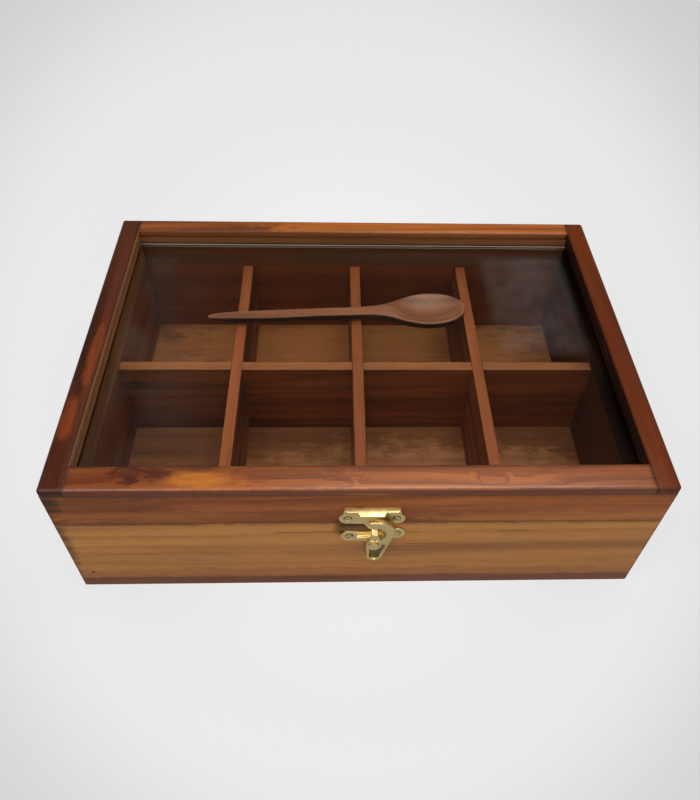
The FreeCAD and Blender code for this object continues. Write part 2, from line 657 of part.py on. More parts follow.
def corner_brads(name, levels):
    # Through the front and back walls into the ends of the side walls
    places = []
    inset = half_box - value("Sizes.brad_side_inset")
    for x in (-inset, inset):
        for z in levels:
            places.append(((x, front_face + cover, z), (0, 1, 0)))
            places.append(((x, back_face - cover, z), (0, -1, 0)))
    set_of(name, brad(brad_length), places)


corner_brads("wall_brads", [value("Sizes.brad_low"), value("Sizes.brad_high")])
corner_brads("lid_brads", [value(f"{lid_bottom} + {height}") for height in lid_brad_z])

places = [((value(x), value(y), 0), (0, 0, 1)) for x, y in base_brad_places]
set_of("base_brads", brad(value("Sizes.base_brad_length")), places)

screw_radius = value("Sizes.screw_radius")
screw_head = value("Sizes.screw_head_radius")
screw_length = value("Sizes.screw_length")
screw_slot = value("Sizes.screw_slot")
screw = turned([(0, 0), (screw_head, 0), (screw_radius, screw_head - screw_radius),
                (screw_radius, screw_length - 2 * screw_radius), (0, screw_length)])
slot_corner = FreeCAD.Vector(-screw_head, -screw_slot / 2, 0)
screw = screw.cut(Part.makeBox(2 * screw_head, screw_slot, screw_slot, slot_corner))

leaf_screw_y = value("Sizes.box_depth / 2 - Sizes.leaf_width / 2")
places = [((value(x), leaf_screw_y, value("Sizes.body_height")), (0, 0, -1)) for x in hinge_screw_x]
set_of("hinge_body_screws", screw, places)
places = [((value(x), leaf_screw_y, value(lid_bottom)), (0, 0, 1)) for x in hinge_screw_x]
set_of("hinge_lid_screws", screw, places)

# Latch: both plates lie on the front face. Their drawings look at the front, with the latch's
# middle at the joint between lid and body as the zero point.
plate_face = front_face - value("Sizes.plate_thickness")
latch_x = value("Sizes.latch_offset")
latch_z = value(joint_middle)
ear = "Sizes.ear_spacing / 2"
ear_round = "Sizes.ear_radius"


def ear_holes(body, level):
    sketch = new_sketch(body, "ear_holes", "XZ_Plane")
    for side in "-+":
        circle(sketch, f"0 {side} {ear}", level, pilot_radius)
    pocket(body, sketch, "Sizes.plate_thickness", backwards=True)
    centre_z = value(level)
    dress(body, "Chamfer", "countersinks", "Sizes.screw_head_radius - Sizes.screw_radius",
          lambda at, box: near(at.y, -value("Sizes.plate_thickness")) and near(at.z, centre_z)
          and near(abs(at.x), value(ear)))


keeper = new_body("latch_lid_plate", x="Sizes.latch_offset", y="-Sizes.box_depth / 2", z=joint_middle)
sketch = new_sketch(keeper, "sheet", "XZ_Plane")
ear_low = f"Sizes.lid_ear_height - {ear_round}"
shoulder = "(Sizes.lid_plate_half_width + Sizes.shoulder_flare)"
shoulder_height = f"Sizes.lid_ear_height + {ear_round} + Sizes.shoulder_rise"
ear_turn = f"({ear} + {ear_round} * cos(Sizes.ear_shoulder_angle * 1 deg))"
ear_turn_height = f"Sizes.lid_ear_height + {ear_round} * sin(Sizes.ear_shoulder_angle * 1 deg)"
outline(sketch, [
    ("-Sizes.lid_plate_half_width", "Sizes.lid_plate_top"),
    (f"-{shoulder}", shoulder_height),
    (f"-{ear_turn}", ear_turn_height, (f"-{ear} - {ear_round}", "Sizes.lid_ear_height")),
    (f"-{ear}", ear_low),
    ("Sizes.keeper_centre - Sizes.tongue_half_width", ear_low),
    ("Sizes.keeper_centre - Sizes.tongue_half_width / 2", "-Sizes.tongue_drop"),
    ("Sizes.keeper_centre + Sizes.tongue_half_width / 2", "-Sizes.tongue_drop"),
    ("Sizes.keeper_centre + Sizes.tongue_half_width", ear_low),
    (ear, ear_low, (f"{ear} + {ear_round}", "Sizes.lid_ear_height")),
    (ear_turn, ear_turn_height),
    (shoulder, shoulder_height),
    ("Sizes.lid_plate_half_width", "Sizes.lid_plate_top"),
])
pad(keeper, sketch, "Sizes.plate_thickness")
ear_holes(keeper, "Sizes.lid_ear_height")
# Shelf along the top edge, with the hood standing further out over the hook
sketch = new_sketch(keeper, "shelf", "XY_Plane", "Sizes.lid_plate_top - Sizes.shelf_thickness")
outline(sketch, [
    ("-Sizes.lid_plate_half_width", "0"),
    ("-Sizes.lid_plate_half_width", "Sizes.shelf_corner - Sizes.shelf_depth"),
    ("Sizes.shelf_corner - Sizes.lid_plate_half_width", "-Sizes.shelf_depth"),
    ("-Sizes.hood_left - Sizes.shelf_corner", "-Sizes.shelf_depth"),
    ("-Sizes.hood_left", "-Sizes.hood_depth"),
    ("Sizes.hood_right", "-Sizes.hood_depth"),
    ("Sizes.hood_right + Sizes.shelf_corner", "-Sizes.shelf_depth"),
    ("Sizes.lid_plate_half_width - Sizes.shelf_corner", "-Sizes.shelf_depth"),
    ("Sizes.lid_plate_half_width", "Sizes.shelf_corner - Sizes.shelf_depth"),
    ("Sizes.lid_plate_half_width", "0"),
])
pad(keeper, sketch, "Sizes.shelf_thickness")
# Keeper: a beak that stands out of the tongue and droops, so that the hook catches under it
sketch = new_sketch(keeper, "beak", "YZ_Plane", "Sizes.keeper_centre - Sizes.keeper_width / 2")
outline(sketch, [
    ("-Sizes.plate_thickness / 2", ear_low),
    ("-Sizes.plate_thickness / 2", "-Sizes.tongue_drop"),
    ("-Sizes.keeper_reach", "-Sizes.tongue_drop - Sizes.beak_droop"),
    ("-Sizes.keeper_reach", "-Sizes.tongue_drop + Sizes.beak_rise"),
    ("Sizes.beak_bevel - Sizes.keeper_reach", "-Sizes.tongue_drop + Sizes.beak_rise + Sizes.beak_bevel"),
])
pad(keeper, sketch, "Sizes.keeper_width")
# The beak ends in a lip that widens downwards, in front of the hook
sketch = new_sketch(keeper, "lip", "XZ_Plane", "Sizes.keeper_reach - Sizes.lip_thickness")
lip_high = "-Sizes.tongue_drop + Sizes.beak_rise"
lip_low = "-Sizes.tongue_drop - Sizes.beak_droop"
outline(sketch, [
    ("Sizes.keeper_centre - Sizes.keeper_width / 2", lip_high),
    ("Sizes.keeper_centre - Sizes.lip_half_width", lip_low),
    ("Sizes.keeper_centre + Sizes.lip_half_width", lip_low),
    ("Sizes.keeper_centre + Sizes.keeper_width / 2", lip_high),
])
pad(keeper, sketch, "Sizes.lip_thickness")

holder = new_body("latch_body_plate", x="Sizes.latch_offset + Sizes.body_plate_right",
                  y="-Sizes.box_depth / 2", z=f"{joint_middle} - Sizes.body_plate_drop")
tilt = value("Sizes.body_plate_tilt")
holder.Placement.Rotation = FreeCAD.Rotation(FreeCAD.Vector(0, -1, 0), tilt)
sketch = new_sketch(holder, "sheet", "XZ_Plane")
hub_edge = "(Sizes.pivot_boss + Sizes.hub_margin)"
hub_top = "-Sizes.pivot_drop - Sizes.hub_shoulder"
notch_level = f"{ear_round} - Sizes.notch_depth"
outline(sketch, [
    (f"-{ear}", ear_round, (f"-{ear} - {ear_round}", "0")),
    (f"-{ear}", f"-{ear_round}"),
    (f"-{hub_edge}", hub_top, ("0", f"-Sizes.pivot_drop - {hub_edge}")),
    (hub_edge, hub_top),
    (ear, f"-{ear_round}", (f"{ear} + {ear_round}", "0")),
    (ear, ear_round),
    ("Sizes.notch_half_width", notch_level),
    ("-Sizes.notch_half_width", notch_level),
])
pad(holder, sketch, "Sizes.plate_thickness")
ear_holes(holder, "0")
# Bead across the plate, and the hub that the lever turns on
sketch = new_sketch(holder, "bead", "XZ_Plane")
rectangle(sketch, "-Sizes.bead_half_length", "-Sizes.bead_height", "2 * Sizes.bead_half_length",
          "Sizes.bead_height + Sizes.bead_overlap")
pad(holder, sketch, "Sizes.plate_thickness + Sizes.bead_depth")
sketch = new_sketch(holder, "hub", "XZ_Plane")
circle(sketch, "0", "-Sizes.pivot_drop", "Sizes.pivot_boss - Sizes.hub_step")
pad(holder, sketch, "Sizes.plate_thickness + Sizes.hub_height")
sketch = new_sketch(holder, "bore", "XZ_Plane")
circle(sketch, "0", "-Sizes.pivot_drop", "Sizes.pivot_radius + Sizes.pivot_play")
pocket(holder, sketch, "Sizes.plate_thickness + Sizes.hub_height", backwards=True)

plate_x = latch_x + value("Sizes.body_plate_right")
plate_z = latch_z - value("Sizes.body_plate_drop")
lean = math.radians(tilt)
places = []
for side in (-1, 1):
    reach = side * value(ear)
    place = (plate_x + reach * math.cos(lean), plate_face, plate_z + reach * math.sin(lean))
    places.append((place, (0, 1, 0)))
set_of("latch_body_screws", screw, places)
lid_ear_z = latch_z + value("Sizes.lid_ear_height")
places = [((latch_x + side * value(ear), plate_face, lid_ear_z), (0, 1, 0)) for side in (-1, 1)]
set_of("latch_lid_screws", screw, places)

# Lever: a hook over the keeper, a boss on the pivot and a dished tail for the thumb
pivot_drop = value("Sizes.pivot_drop")
pivot_x = plate_x + pivot_drop * math.sin(lean)
pivot_z = plate_z - pivot_drop * math.cos(lean)
lever_back = value("Sizes.plate_thickness + Sizes.hub_height + Sizes.pivot_play")
lever_front = lever_back + value("Sizes.lever_thickness")
lever = new_body("latch_lever", y="-Sizes.box_depth / 2")
lever.setExpression("Placement.Base.x", "Sizes.latch_offset + Sizes.body_plate_right"
                    " + Sizes.pivot_drop * sin(Sizes.body_plate_tilt * 1 deg)")
lever.setExpression("Placement.Base.z", f"{joint_middle} - Sizes.body_plate_drop"
                    " - Sizes.pivot_drop * cos(Sizes.body_plate_tilt * 1 deg)")


def around(centre, radius, degrees):
    angle = math.radians(degrees)
    return (centre[0] + radius * math.cos(angle), centre[1] + radius * math.sin(angle))


def as_text(point):
    return tuple(f"{number:.6f}" for number in point)


hook = (value("Sizes.hook_right"), value("Sizes.hook_rise"))
hook_radius = value("Sizes.hook_radius")
boss = value("Sizes.pivot_boss")
eye_radius = value("Sizes.hook_hole_radius")
eye = (0.0, boss + eye_radius)
tail = (value("Sizes.tail_right"), -value("Sizes.tail_length"))
tail_radius = value("Sizes.tail_radius")
rim = value("Sizes.lever_rim")
span = math.hypot(tail[0] - hook[0], tail[1] - hook[1])
down = math.degrees(math.atan2(tail[1] - hook[1], tail[0] - hook[0]))
side_angle = down + math.degrees(math.acos((hook_radius - tail_radius) / span))
sketch = new_sketch(lever, "outline", "XZ_Plane", f"{lever_back}")
# Angles from the right, round the hook's middle and the eye's, where the hook's point begins and ends
point_outside = 118
point_inside = 100
outline(sketch, [
    as_text(around(hook, hook_radius, point_outside)) + (as_text(around(hook, hook_radius, 50)),),
    as_text(around(hook, hook_radius, side_angle)),
    as_text(around(tail, tail_radius, side_angle)) + (as_text(around(tail, tail_radius, -90)),),
    as_text(around(tail, tail_radius, 180)),
    as_text((-boss, 0)) + (as_text(around((0, 0), boss, 135)),),
    as_text((0, boss)) + (as_text(around(eye, eye_radius, 0)),),
    as_text(around(eye, eye_radius, point_inside)),
])
pad(lever, sketch, "Sizes.lever_thickness")
ring = boss + value("Sizes.recess_margin")
left_edge = tail[0] - tail_radius + rim
inner_top = around(hook, hook_radius - rim, side_angle)
inner_low = around(tail, tail_radius - rim, side_angle)
level = value("Sizes.recess_top")
fall = (inner_top[1] - level) / (inner_top[1] - inner_low[1])
right_edge = inner_top[0] + fall * (inner_low[0] - inner_top[0])
sketch = new_sketch(lever, "recess", "XZ_Plane", f"{lever_front}")
outline(sketch, [
    as_text((left_edge, -math.sqrt(ring ** 2 - left_edge ** 2))),
    as_text(around(tail, tail_radius - rim, 180)) + (as_text(around(tail, tail_radius - rim, -90)),),
    as_text(inner_low),
    as_text((right_edge, level)),
    as_text((math.sqrt(ring ** 2 - level ** 2), level)) + (as_text(around((0, 0), ring, -50)),),
])
pocket(lever, sketch, "Sizes.lever_recess")
sketch = new_sketch(lever, "bore", "XZ_Plane", f"{lever_front}")
circle(sketch, "0", "0", "Sizes.pivot_radius + Sizes.pivot_play")
pocket(lever, sketch, "Sizes.lever_thickness")

pivot_radius = value("Sizes.pivot_radius")
head_radius = value("Sizes.pivot_head_radius")
head_height = value("Sizes.pivot_head_height")
head_flat = head_radius - value("Sizes.pivot_head_round")
rivet_length = lever_front + value("Sizes.pivot_play") + head_height
rivet = turned([(0, 0), (head_flat, 0), (head_radius, head_height / 2), (head_radius, head_height),
                (pivot_radius, head_height), (pivot_radius, rivet_length), (0, rivet_length)])
rivet_place = (pivot_x, front_face - rivet_length, pivot_z)
set_of("latch_pivot_rivet", rivet, [(rivet_place, (0, 1, 0))])

# Spoon: carved in one piece, flat along the top, with a wavy handle and a shallow bowl
spoon_length = value("Sizes.spoon_length")
bowl_half = value("Sizes.spoon_bowl_width / 2")
handle_half = value("Sizes.spoon_handle_width / 2")
thick = value("Sizes.spoon_thickness")
# Each station: its share of the length, its half width and its depth below the top
stations = [
    (0.0, 0.35 * handle_half, 0.35 * thick),
    (0.05, 0.75 * handle_half, 0.75 * thick),
    (0.14, 0.9 * handle_half, thick),
    (0.28, 1.05 * handle_half, 0.92 * thick),
    (0.42, 1.0 * handle_half, 0.98 * thick),
    (0.56, 1.0 * handle_half, thick),
    (0.65, 1.25 * handle_half, 1.05 * thick),
    (0.71, 0.48 * bowl_half, 1.2 * thick),
    (0.78, 0.83 * bowl_half, 1.45 * thick),
    (0.86, bowl_half, 1.55 * thick),
    (0.93, 0.84 * bowl_half, 1.4 * thick),
    (0.975, 0.55 * bowl_half, 1.15 * thick),
    (1.0, 0.22 * bowl_half, 0.8 * thick),
]
wires = []
for share, half, depth in stations:
    x = share * spoon_length
    curve = Part.BSplineCurve()
    curve.interpolate([
        FreeCAD.Vector(x, -half, 0),
        FreeCAD.Vector(x, -0.9 * half, -0.55 * depth),
        FreeCAD.Vector(x, -0.5 * half, -0.92 * depth),
        FreeCAD.Vector(x, 0, -depth),
        FreeCAD.Vector(x, 0.5 * half, -0.92 * depth),
        FreeCAD.Vector(x, 0.9 * half, -0.55 * depth),
        FreeCAD.Vector(x, half, 0),
    ])
    top = Part.LineSegment(FreeCAD.Vector(x, half, 0), FreeCAD.Vector(x, -half, 0))
    wires.append(Part.Wire([curve.toShape(), top.toShape()]))
carved = Part.makeLoft(wires, True, False)
# The hollow runs over the stations from the neck to the end of the bowl
bowl_start = 0.72 * spoon_length
bowl_end = 0.99 * spoon_length
rim_width = value("Sizes.spoon_rim")
hollow = Part.makeSphere(1.0)
stretch = FreeCAD.Matrix()
stretch.scale((bowl_end - bowl_start) / 2 - rim_width, bowl_half - rim_width, value("Sizes.spoon_hollow"))
hollow = hollow.transformGeometry(stretch)
hollow.translate(FreeCAD.Vector((bowl_start + bowl_end) / 2, 0, 0))
carved = carved.cut(hollow)
spoon = doc.addObject("Part::Feature", "spoon")
spoon.Shape = carved
divider_top = value("Sizes.body_height - Sizes.divider_drop")
spoon_end = value(f"{divider_pitch} - Sizes.divider_thickness / 2 + Sizes.spoon_overlap")
spoon_turn = FreeCAD.Rotation(FreeCAD.Vector(0, 0, 1), value("Sizes.spoon_angle"))
reach = spoon_turn.multVec(FreeCAD.Vector(spoon_length, 0, 0))
spoon_tip_y = value(inner_middle) + value("Sizes.spoon_back") - reach.y
spoon_top = divider_top + value("Sizes.spoon_play") + thick
spoon.Placement = FreeCAD.Placement(
    FreeCAD.Vector(spoon_end - reach.x, spoon_tip_y, spoon_top), spoon_turn)

doc.recompute()

nodes = [item for item in doc.Objects
         if item.TypeId in ("PartDesign::Body", "Part::Feature", "Part::Cylinder")]
for item in doc.Objects:
    if "Invalid" in item.State or "Error" in item.State:
        raise RuntimeError(f"{item.Name} failed: {item.State}")
for node in nodes:
    if node.Shape.isNull() or not node.Shape.isValid() or not node.Shape.Solids:
        raise RuntimeError(f"{node.Label} has no valid solid")
for node in nodes:
    node.Shape.exportStep(f"parts/{node.Label}.step")
    print(node.Label, len(node.Shape.Solids), round(node.Shape.Volume, 1))
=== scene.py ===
import json
import math

import bmesh
import bpy
from mathutils import Matrix, Vector

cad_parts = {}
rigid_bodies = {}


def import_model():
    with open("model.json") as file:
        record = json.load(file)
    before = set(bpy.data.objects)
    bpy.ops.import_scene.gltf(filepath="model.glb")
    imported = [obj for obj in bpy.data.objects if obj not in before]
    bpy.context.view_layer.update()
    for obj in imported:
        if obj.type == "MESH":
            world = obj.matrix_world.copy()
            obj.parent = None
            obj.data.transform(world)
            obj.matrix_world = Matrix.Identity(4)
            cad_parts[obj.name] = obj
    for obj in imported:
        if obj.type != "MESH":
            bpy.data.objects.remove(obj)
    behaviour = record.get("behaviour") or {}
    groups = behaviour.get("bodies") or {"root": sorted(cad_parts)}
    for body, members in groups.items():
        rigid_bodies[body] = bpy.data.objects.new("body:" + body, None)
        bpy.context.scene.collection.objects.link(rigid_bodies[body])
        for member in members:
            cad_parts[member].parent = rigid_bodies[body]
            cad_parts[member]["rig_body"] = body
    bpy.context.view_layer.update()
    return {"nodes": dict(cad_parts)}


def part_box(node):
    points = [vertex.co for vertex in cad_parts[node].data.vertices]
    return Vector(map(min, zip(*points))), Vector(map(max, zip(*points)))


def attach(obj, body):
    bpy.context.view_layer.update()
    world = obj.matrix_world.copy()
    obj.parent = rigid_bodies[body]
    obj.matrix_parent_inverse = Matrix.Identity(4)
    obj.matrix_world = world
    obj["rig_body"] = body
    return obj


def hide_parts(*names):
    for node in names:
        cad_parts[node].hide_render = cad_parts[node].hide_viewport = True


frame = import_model()
nodes = frame["nodes"]
print("frame loaded:", len(nodes), "nodes")

mm = 0.001


def colour(hexText):
    channels = [int(hexText[i:i + 2], 16) / 255 for i in (1, 3, 5)]
    return tuple(c / 12.92 if c <= 0.04045 else ((c + 0.055) / 1.055) ** 2.4 for c in channels) + (1.0,)


# Node helpers: a source is a socket to link or a plain value

def feed(tree, socket, source):
    if isinstance(source, bpy.types.NodeSocket):
        tree.links.new(source, socket)
    else:
        socket.default_value = source


def addNode(tree, kind, inputs=None, **settings):
    made = tree.nodes.new(kind)
    for name, setting in settings.items():
        setattr(made, name, setting)
    for key, source in (inputs or {}).items():
        feed(tree, made.inputs[key], source)
    return made


def calc(tree, operation, *sources):
    made = addNode(tree, "ShaderNodeMath", operation=operation)
    for socket, source in zip(made.inputs, sources):
        feed(tree, socket, source)
    return made.outputs[0]


def vectorCalc(tree, operation, *sources):
    made = addNode(tree, "ShaderNodeVectorMath", operation=operation)
    for socket, source in zip(made.inputs, sources):
        feed(tree, socket, source)
    return made.outputs["Value"] if operation in ("LENGTH", "DISTANCE") else made.outputs["Vector"]


def mixColours(tree, kind, amount, first, second):
    made = addNode(tree, "ShaderNodeMix", data_type="RGBA", blend_type=kind)
    for index, source in ((0, amount), (6, first), (7, second)):
        feed(tree, made.inputs[index], source)
    return made.outputs[2]


def fade(tree, source, start, end, low=0.0, high=1.0):  # low below start, high above end
    made = addNode(tree, "ShaderNodeMapRange", {
        "Value": source, "From Min": start, "From Max": end, "To Min": low, "To Max": high,
    }, interpolation_type="SMOOTHSTEP")
    return made.outputs["Result"]


def noiseAt(tree, vector, scale, detail=2.0, roughness=0.5):
    made = addNode(tree, "ShaderNodeTexNoise", {
        "Vector": vector, "Scale": scale, "Detail": detail, "Roughness": roughness})
    return made.outputs[0]


def newMaterial(name):
    material = bpy.data.materials.new(name)
    material.use_nodes = True
    tree = material.node_tree
    return material, tree, tree.nodes["Principled BSDF"]


# Wood: growth rings round a heart outside the board, bands, streaks, fibres and pores along the grain

woodDefaults = {
    "light": "#b98550", "mid": "#96633a", "dark": "#6b3f22", "streak": "#4a2916",
    "heart": (0.02, -0.09), "tilt": (0.03, 0.0), "ringGap": 0.0052, "ringStrength": 0.45,
    "warp": 0.006, "warpScale": 22.0, "streakScale": 95.0, "streakFrom": 0.54, "streakStrength": 0.5,
    "bandScale": 75.0, "bandStretch": 0.07, "poreStrength": 0.3, "fibreStrength": 0.14,
    "edgeTone": "#3a2214", "edgeWidth": 0.0014, "edgeStrength": 0.45, "endTone": 0.62,
    "roughness": 0.42, "shine": 0.25, "coat": 0.12, "coatRoughness": 0.14, "roundEdge": 0.0,
    "bump": 0.2, "seed": 0.0, "faces": (), "spots": (), "cracks": (), "lines": (),
}


def makeWood(name, node, axis, **changes):
    look = {**woodDefaults, **changes}
    low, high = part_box(node)
    centre, half = (low + high) / 2, (high - low) / 2
    material, tree, shader = newMaterial(name)
    place = addNode(tree, "ShaderNodeTexCoord")
    local = vectorCalc(tree, "SUBTRACT", place.outputs["Object"], centre)
    normal = addNode(tree, "ShaderNodeSeparateXYZ", {0: place.outputs["Normal"]})
    turn = -math.pi / 2 if axis == "Y" else 0.0
    along = addNode(tree, "ShaderNodeMapping", {"Vector": local, "Rotation": (0, 0, turn)}).outputs[0]
    split = addNode(tree, "ShaderNodeSeparateXYZ", {0: along})
    u, v, w = split.outputs
    seed = (look["seed"], look["seed"] * 0.37, look["seed"] * 0.71)
    shifted = vectorCalc(tree, "ADD", along, seed)

    def times(first, second):
        return calc(tree, "MULTIPLY", first, second)

    def stretched(share):
        return vectorCalc(tree, "MULTIPLY", shifted, (share, 1.0, 1.0))

    def centred(source, reach):
        return times(calc(tree, "SUBTRACT", source, 0.5), reach)

    # Waviness of the rings, pushed further round each spot
    wander = centred(noiseAt(tree, stretched(0.16), look["warpScale"], 3.0), look["warp"] * 2)
    finer = centred(noiseAt(tree, stretched(0.08), look["warpScale"] * 6, 2.0), look["warp"] * 0.35)
    wander = calc(tree, "ADD", wander, finer)
    spotMasks = []
    for at, size, push, tone, amount in look["spots"]:
        offset = vectorCalc(tree, "DIVIDE", vectorCalc(tree, "SUBTRACT", along, at), size)
        ripple = centred(noiseAt(tree, stretched(0.5), 190.0, 4.0, 0.65), 1.6)
        distance = calc(tree, "ADD", vectorCalc(tree, "LENGTH", offset), ripple)
        mask = fade(tree, distance, 1.15, 0.55)
        wander = calc(tree, "ADD", wander, times(mask, push))
        spotMasks.append((times(mask, amount), tone))

    # Growth rings
    heartV = calc(tree, "ADD", times(u, look["tilt"][0]), look["heart"][0])
    heartW = calc(tree, "ADD", times(u, look["tilt"][1]), look["heart"][1])
    across = addNode(tree, "ShaderNodeCombineXYZ", {
        "X": 0.0, "Y": calc(tree, "SUBTRACT", v, heartV), "Z": calc(tree, "SUBTRACT", w, heartW)})
    age = calc(tree, "ADD", vectorCalc(tree, "LENGTH", across.outputs[0]), wander)
    season = calc(tree, "FRACT", calc(tree, "DIVIDE", age, look["ringGap"]))
    ringTone = times(fade(tree, season, 0.25, 0.9), fade(tree, season, 0.9, 1.0, 1.0, 0.0))
    ringVary = noiseAt(tree, stretched(0.05), 140.0, 1.0)
    ringTone = times(ringTone, fade(tree, ringVary, 0.3, 0.65, 0.35, 1.0))
    ringTone = times(ringTone, look["ringStrength"])

    # Tones
    bands = noiseAt(tree, stretched(look["bandStretch"]), look["bandScale"], 3.0, 0.6)
    bandMask = fade(tree, bands, 0.36, 0.64)
    tone = mixColours(tree, "MIX", bandMask, colour(look["light"]), colour(look["mid"]))
    tone = mixColours(tree, "MIX", ringTone, tone, colour(look["dark"]))
    streaks = noiseAt(tree, stretched(0.035), look["streakScale"], 4.0, 0.55)
    streaks = fade(tree, streaks, look["streakFrom"], look["streakFrom"] + 0.16)
    tone = mixColours(tree, "MIX", times(streaks, look["streakStrength"]), tone, colour(look["streak"]))
    for mask, spotTone in spotMasks:
        vary = fade(tree, season, 0.1, 0.8, 0.65, 1.0)
        tone = mixColours(tree, "MIX", times(mask, vary), tone, colour(spotTone))
    fibres = noiseAt(tree, stretched(0.022), 1500.0, 3.0, 0.6)
    shade = fade(tree, fibres, 0.25, 0.75, 1.0 - look["fibreStrength"], 1.0 + look["fibreStrength"] * 0.5)
    pores = noiseAt(tree, stretched(0.045), 2600.0, 1.0)
    poreMask = fade(tree, pores, 0.62, 0.74)
    shade = times(shade, calc(tree, "SUBTRACT", 1.0, times(poreMask, look["poreStrength"])))
    # Cracks are thin; lines are wider stains along the grain
    marks = [(0.00042, 0.00012, 0.006, mark) for mark in look["cracks"]]
    marks += [(0.0017, 0.0002, 0.02, mark) for mark in look["lines"]]
    wave = centred(noiseAt(tree, stretched(0.15), 90.0, 2.0), 0.0022)
    for outer, sharp, ramp, (height, first, last, deep) in marks:
        off = calc(tree, "ABSOLUTE", calc(tree, "SUBTRACT", calc(tree, "ADD", w, wave), height))
        mask = times(fade(tree, off, outer, sharp), fade(tree, u, first, first + ramp))
        mask = times(mask, fade(tree, u, last, last - ramp))
        shade = times(shade, calc(tree, "SUBTRACT", 1.0, times(mask, deep)))

    # Darker end grain, and the finish gathered along the edges
    grainNormal = normal.outputs["Y" if axis == "Y" else "X"]
    endMask = fade(tree, calc(tree, "ABSOLUTE", grainNormal), 0.75, 0.95)
    shade = times(shade, fade(tree, endMask, 0.0, 1.0, 1.0, look["endTone"]))
    inside = vectorCalc(tree, "SUBTRACT", vectorCalc(tree, "ABSOLUTE", local), half)
    a, b, c = addNode(tree, "ShaderNodeSeparateXYZ", {0: inside}).outputs
    pairs = [calc(tree, "MINIMUM", *pair) for pair in ((a, b), (b, c), (a, c))]
    second = calc(tree, "MAXIMUM", calc(tree, "MAXIMUM", pairs[0], pairs[1]), pairs[2])
    ragged = times(noiseAt(tree, shifted, 260.0, 3.0), look["edgeWidth"] * 2)
    edge = fade(tree, calc(tree, "ADD", second, ragged), 0.0, look["edgeWidth"])
    grey = addNode(tree, "ShaderNodeCombineColor", {0: shade, 1: shade, 2: shade}).outputs[0]
    tone = mixColours(tree, "MULTIPLY", 1.0, tone, grey)
    tone = mixColours(tree, "MIX", times(edge, look["edgeStrength"]), tone, colour(look["edgeTone"]))
    # Faces with their own tone, such as the side that looks into the box; some boards use it for painted shade on faces
    # turned from the light, and for painted light on upward faces
    for direction, faceTone, amount in look["faces"]:
        facing = addNode(tree, "ShaderNodeVectorMath", operation="DOT_PRODUCT")
        feed(tree, facing.inputs[0], place.outputs["Normal"])
        facing.inputs[1].default_value = direction
        mask = times(fade(tree, facing.outputs["Value"], 0.5, 0.9), amount)
        banded = mixColours(tree, "MULTIPLY", times(bandMask, 0.55), colour(faceTone), (0.55, 0.5, 0.48, 1))
        tone = mixColours(tree, "MIX", mask, tone, mixColours(tree, "MULTIPLY", 0.8, banded, grey))
    feed(tree, shader.inputs["Base Color"], tone)
    rough = fade(tree, bands, 0.3, 0.7, look["roughness"] - 0.05, look["roughness"] + 0.05)
    feed(tree, shader.inputs["Roughness"], calc(tree, "ADD", times(poreMask, 0.12), rough))
    relief = calc(tree, "SUBTRACT", times(fibres, 0.6), poreMask)
    bump = addNode(tree, "ShaderNodeBump", {"Height": relief, "Strength": look["bump"], "Distance": 0.00012})
    if look["roundEdge"]:
        roundOver = addNode(tree, "ShaderNodeBevel", {"Radius": look["roundEdge"]}, samples=6)
        feed(tree, bump.inputs["Normal"], roundOver.outputs[0])
    feed(tree, shader.inputs["Normal"], bump.outputs[0])
    feed(tree, shader.inputs["Coat Weight"], fade(tree, normal.outputs["Z"], 0.2, 0.5, 0.0, look["coat"]))
    shader.inputs["Coat Roughness"].default_value = look["coatRoughness"]
    shader.inputs["Specular IOR Level"].default_value = look["shine"]
    return material


def makeMetal(name, tone, shadeTone, roughness, wear=0.4, recessShade=None, worn=None, roundEdge=0.0003):
    # recess shade, painted: faces deeper than the given depth are dark where they look to the front, or up below a
    # level
    # worn: a mesh attribute
    material, tree, shader = newMaterial(name)
    source = addNode(tree, "ShaderNodeTexCoord")
    place = source.outputs["Object"]
    cloud = noiseAt(tree, place, 420.0, 4.0, 0.6)
    tarnish = fade(tree, cloud, 0.46, 0.72, 0.0, 0.55 * wear)
    base = mixColours(tree, "MIX", tarnish, colour(tone), colour(shadeTone))
    # Painted shade in the recesses
    if recessShade:
        depth, level, darkTone, amount = recessShade
        axes = addNode(tree, "ShaderNodeSeparateXYZ", {0: place}).outputs
        facing = addNode(tree, "ShaderNodeSeparateXYZ", {0: source.outputs["Normal"]}).outputs
        upward = calc(tree, "MULTIPLY", fade(tree, facing[2], 0.1, 0.4), fade(tree, axes[2], level, level - 0.001))
        mask = calc(tree, "MAXIMUM", fade(tree, facing[1], -0.6, -0.9), upward)
        mask = calc(tree, "MULTIPLY", mask, fade(tree, axes[1], depth, depth + 0.0003))
        mask = calc(tree, "MULTIPLY", mask, fade(tree, cloud, 0.25, 0.6, amount, amount * 0.75))
        base = mixColours(tree, "MIX", mask, base, colour(darkTone))
    if worn:
        mask = addNode(tree, "ShaderNodeAttribute", attribute_name=worn[0]).outputs["Fac"]
        base = mixColours(tree, "MIX", mask, base, colour(worn[1]))
    feed(tree, shader.inputs["Base Color"], base)
    brushed = noiseAt(tree, vectorCalc(tree, "MULTIPLY", place, (1.0, 1.0, 0.15)), 2600.0, 2.0)
    rough = calc(tree, "ADD", fade(tree, cloud, 0.3, 0.75, roughness - 0.06, roughness + 0.12),
                 calc(tree, "MULTIPLY", brushed, 0.05))
    feed(tree, shader.inputs["Roughness"], rough)
    lumps = calc(tree, "ADD", cloud, calc(tree, "MULTIPLY", brushed, 0.15))
    roundOver = addNode(tree, "ShaderNodeBevel", {"Radius": roundEdge}, samples=6)
    bump = addNode(tree, "ShaderNodeBump", {
        "Height": lumps, "Strength": 0.05, "Distance": 0.0001, "Normal": roundOver.outputs[0]})
    feed(tree, shader.inputs["Normal"], bump.outputs[0])
    shader.inputs["Metallic"].default_value = 1.0
    return material


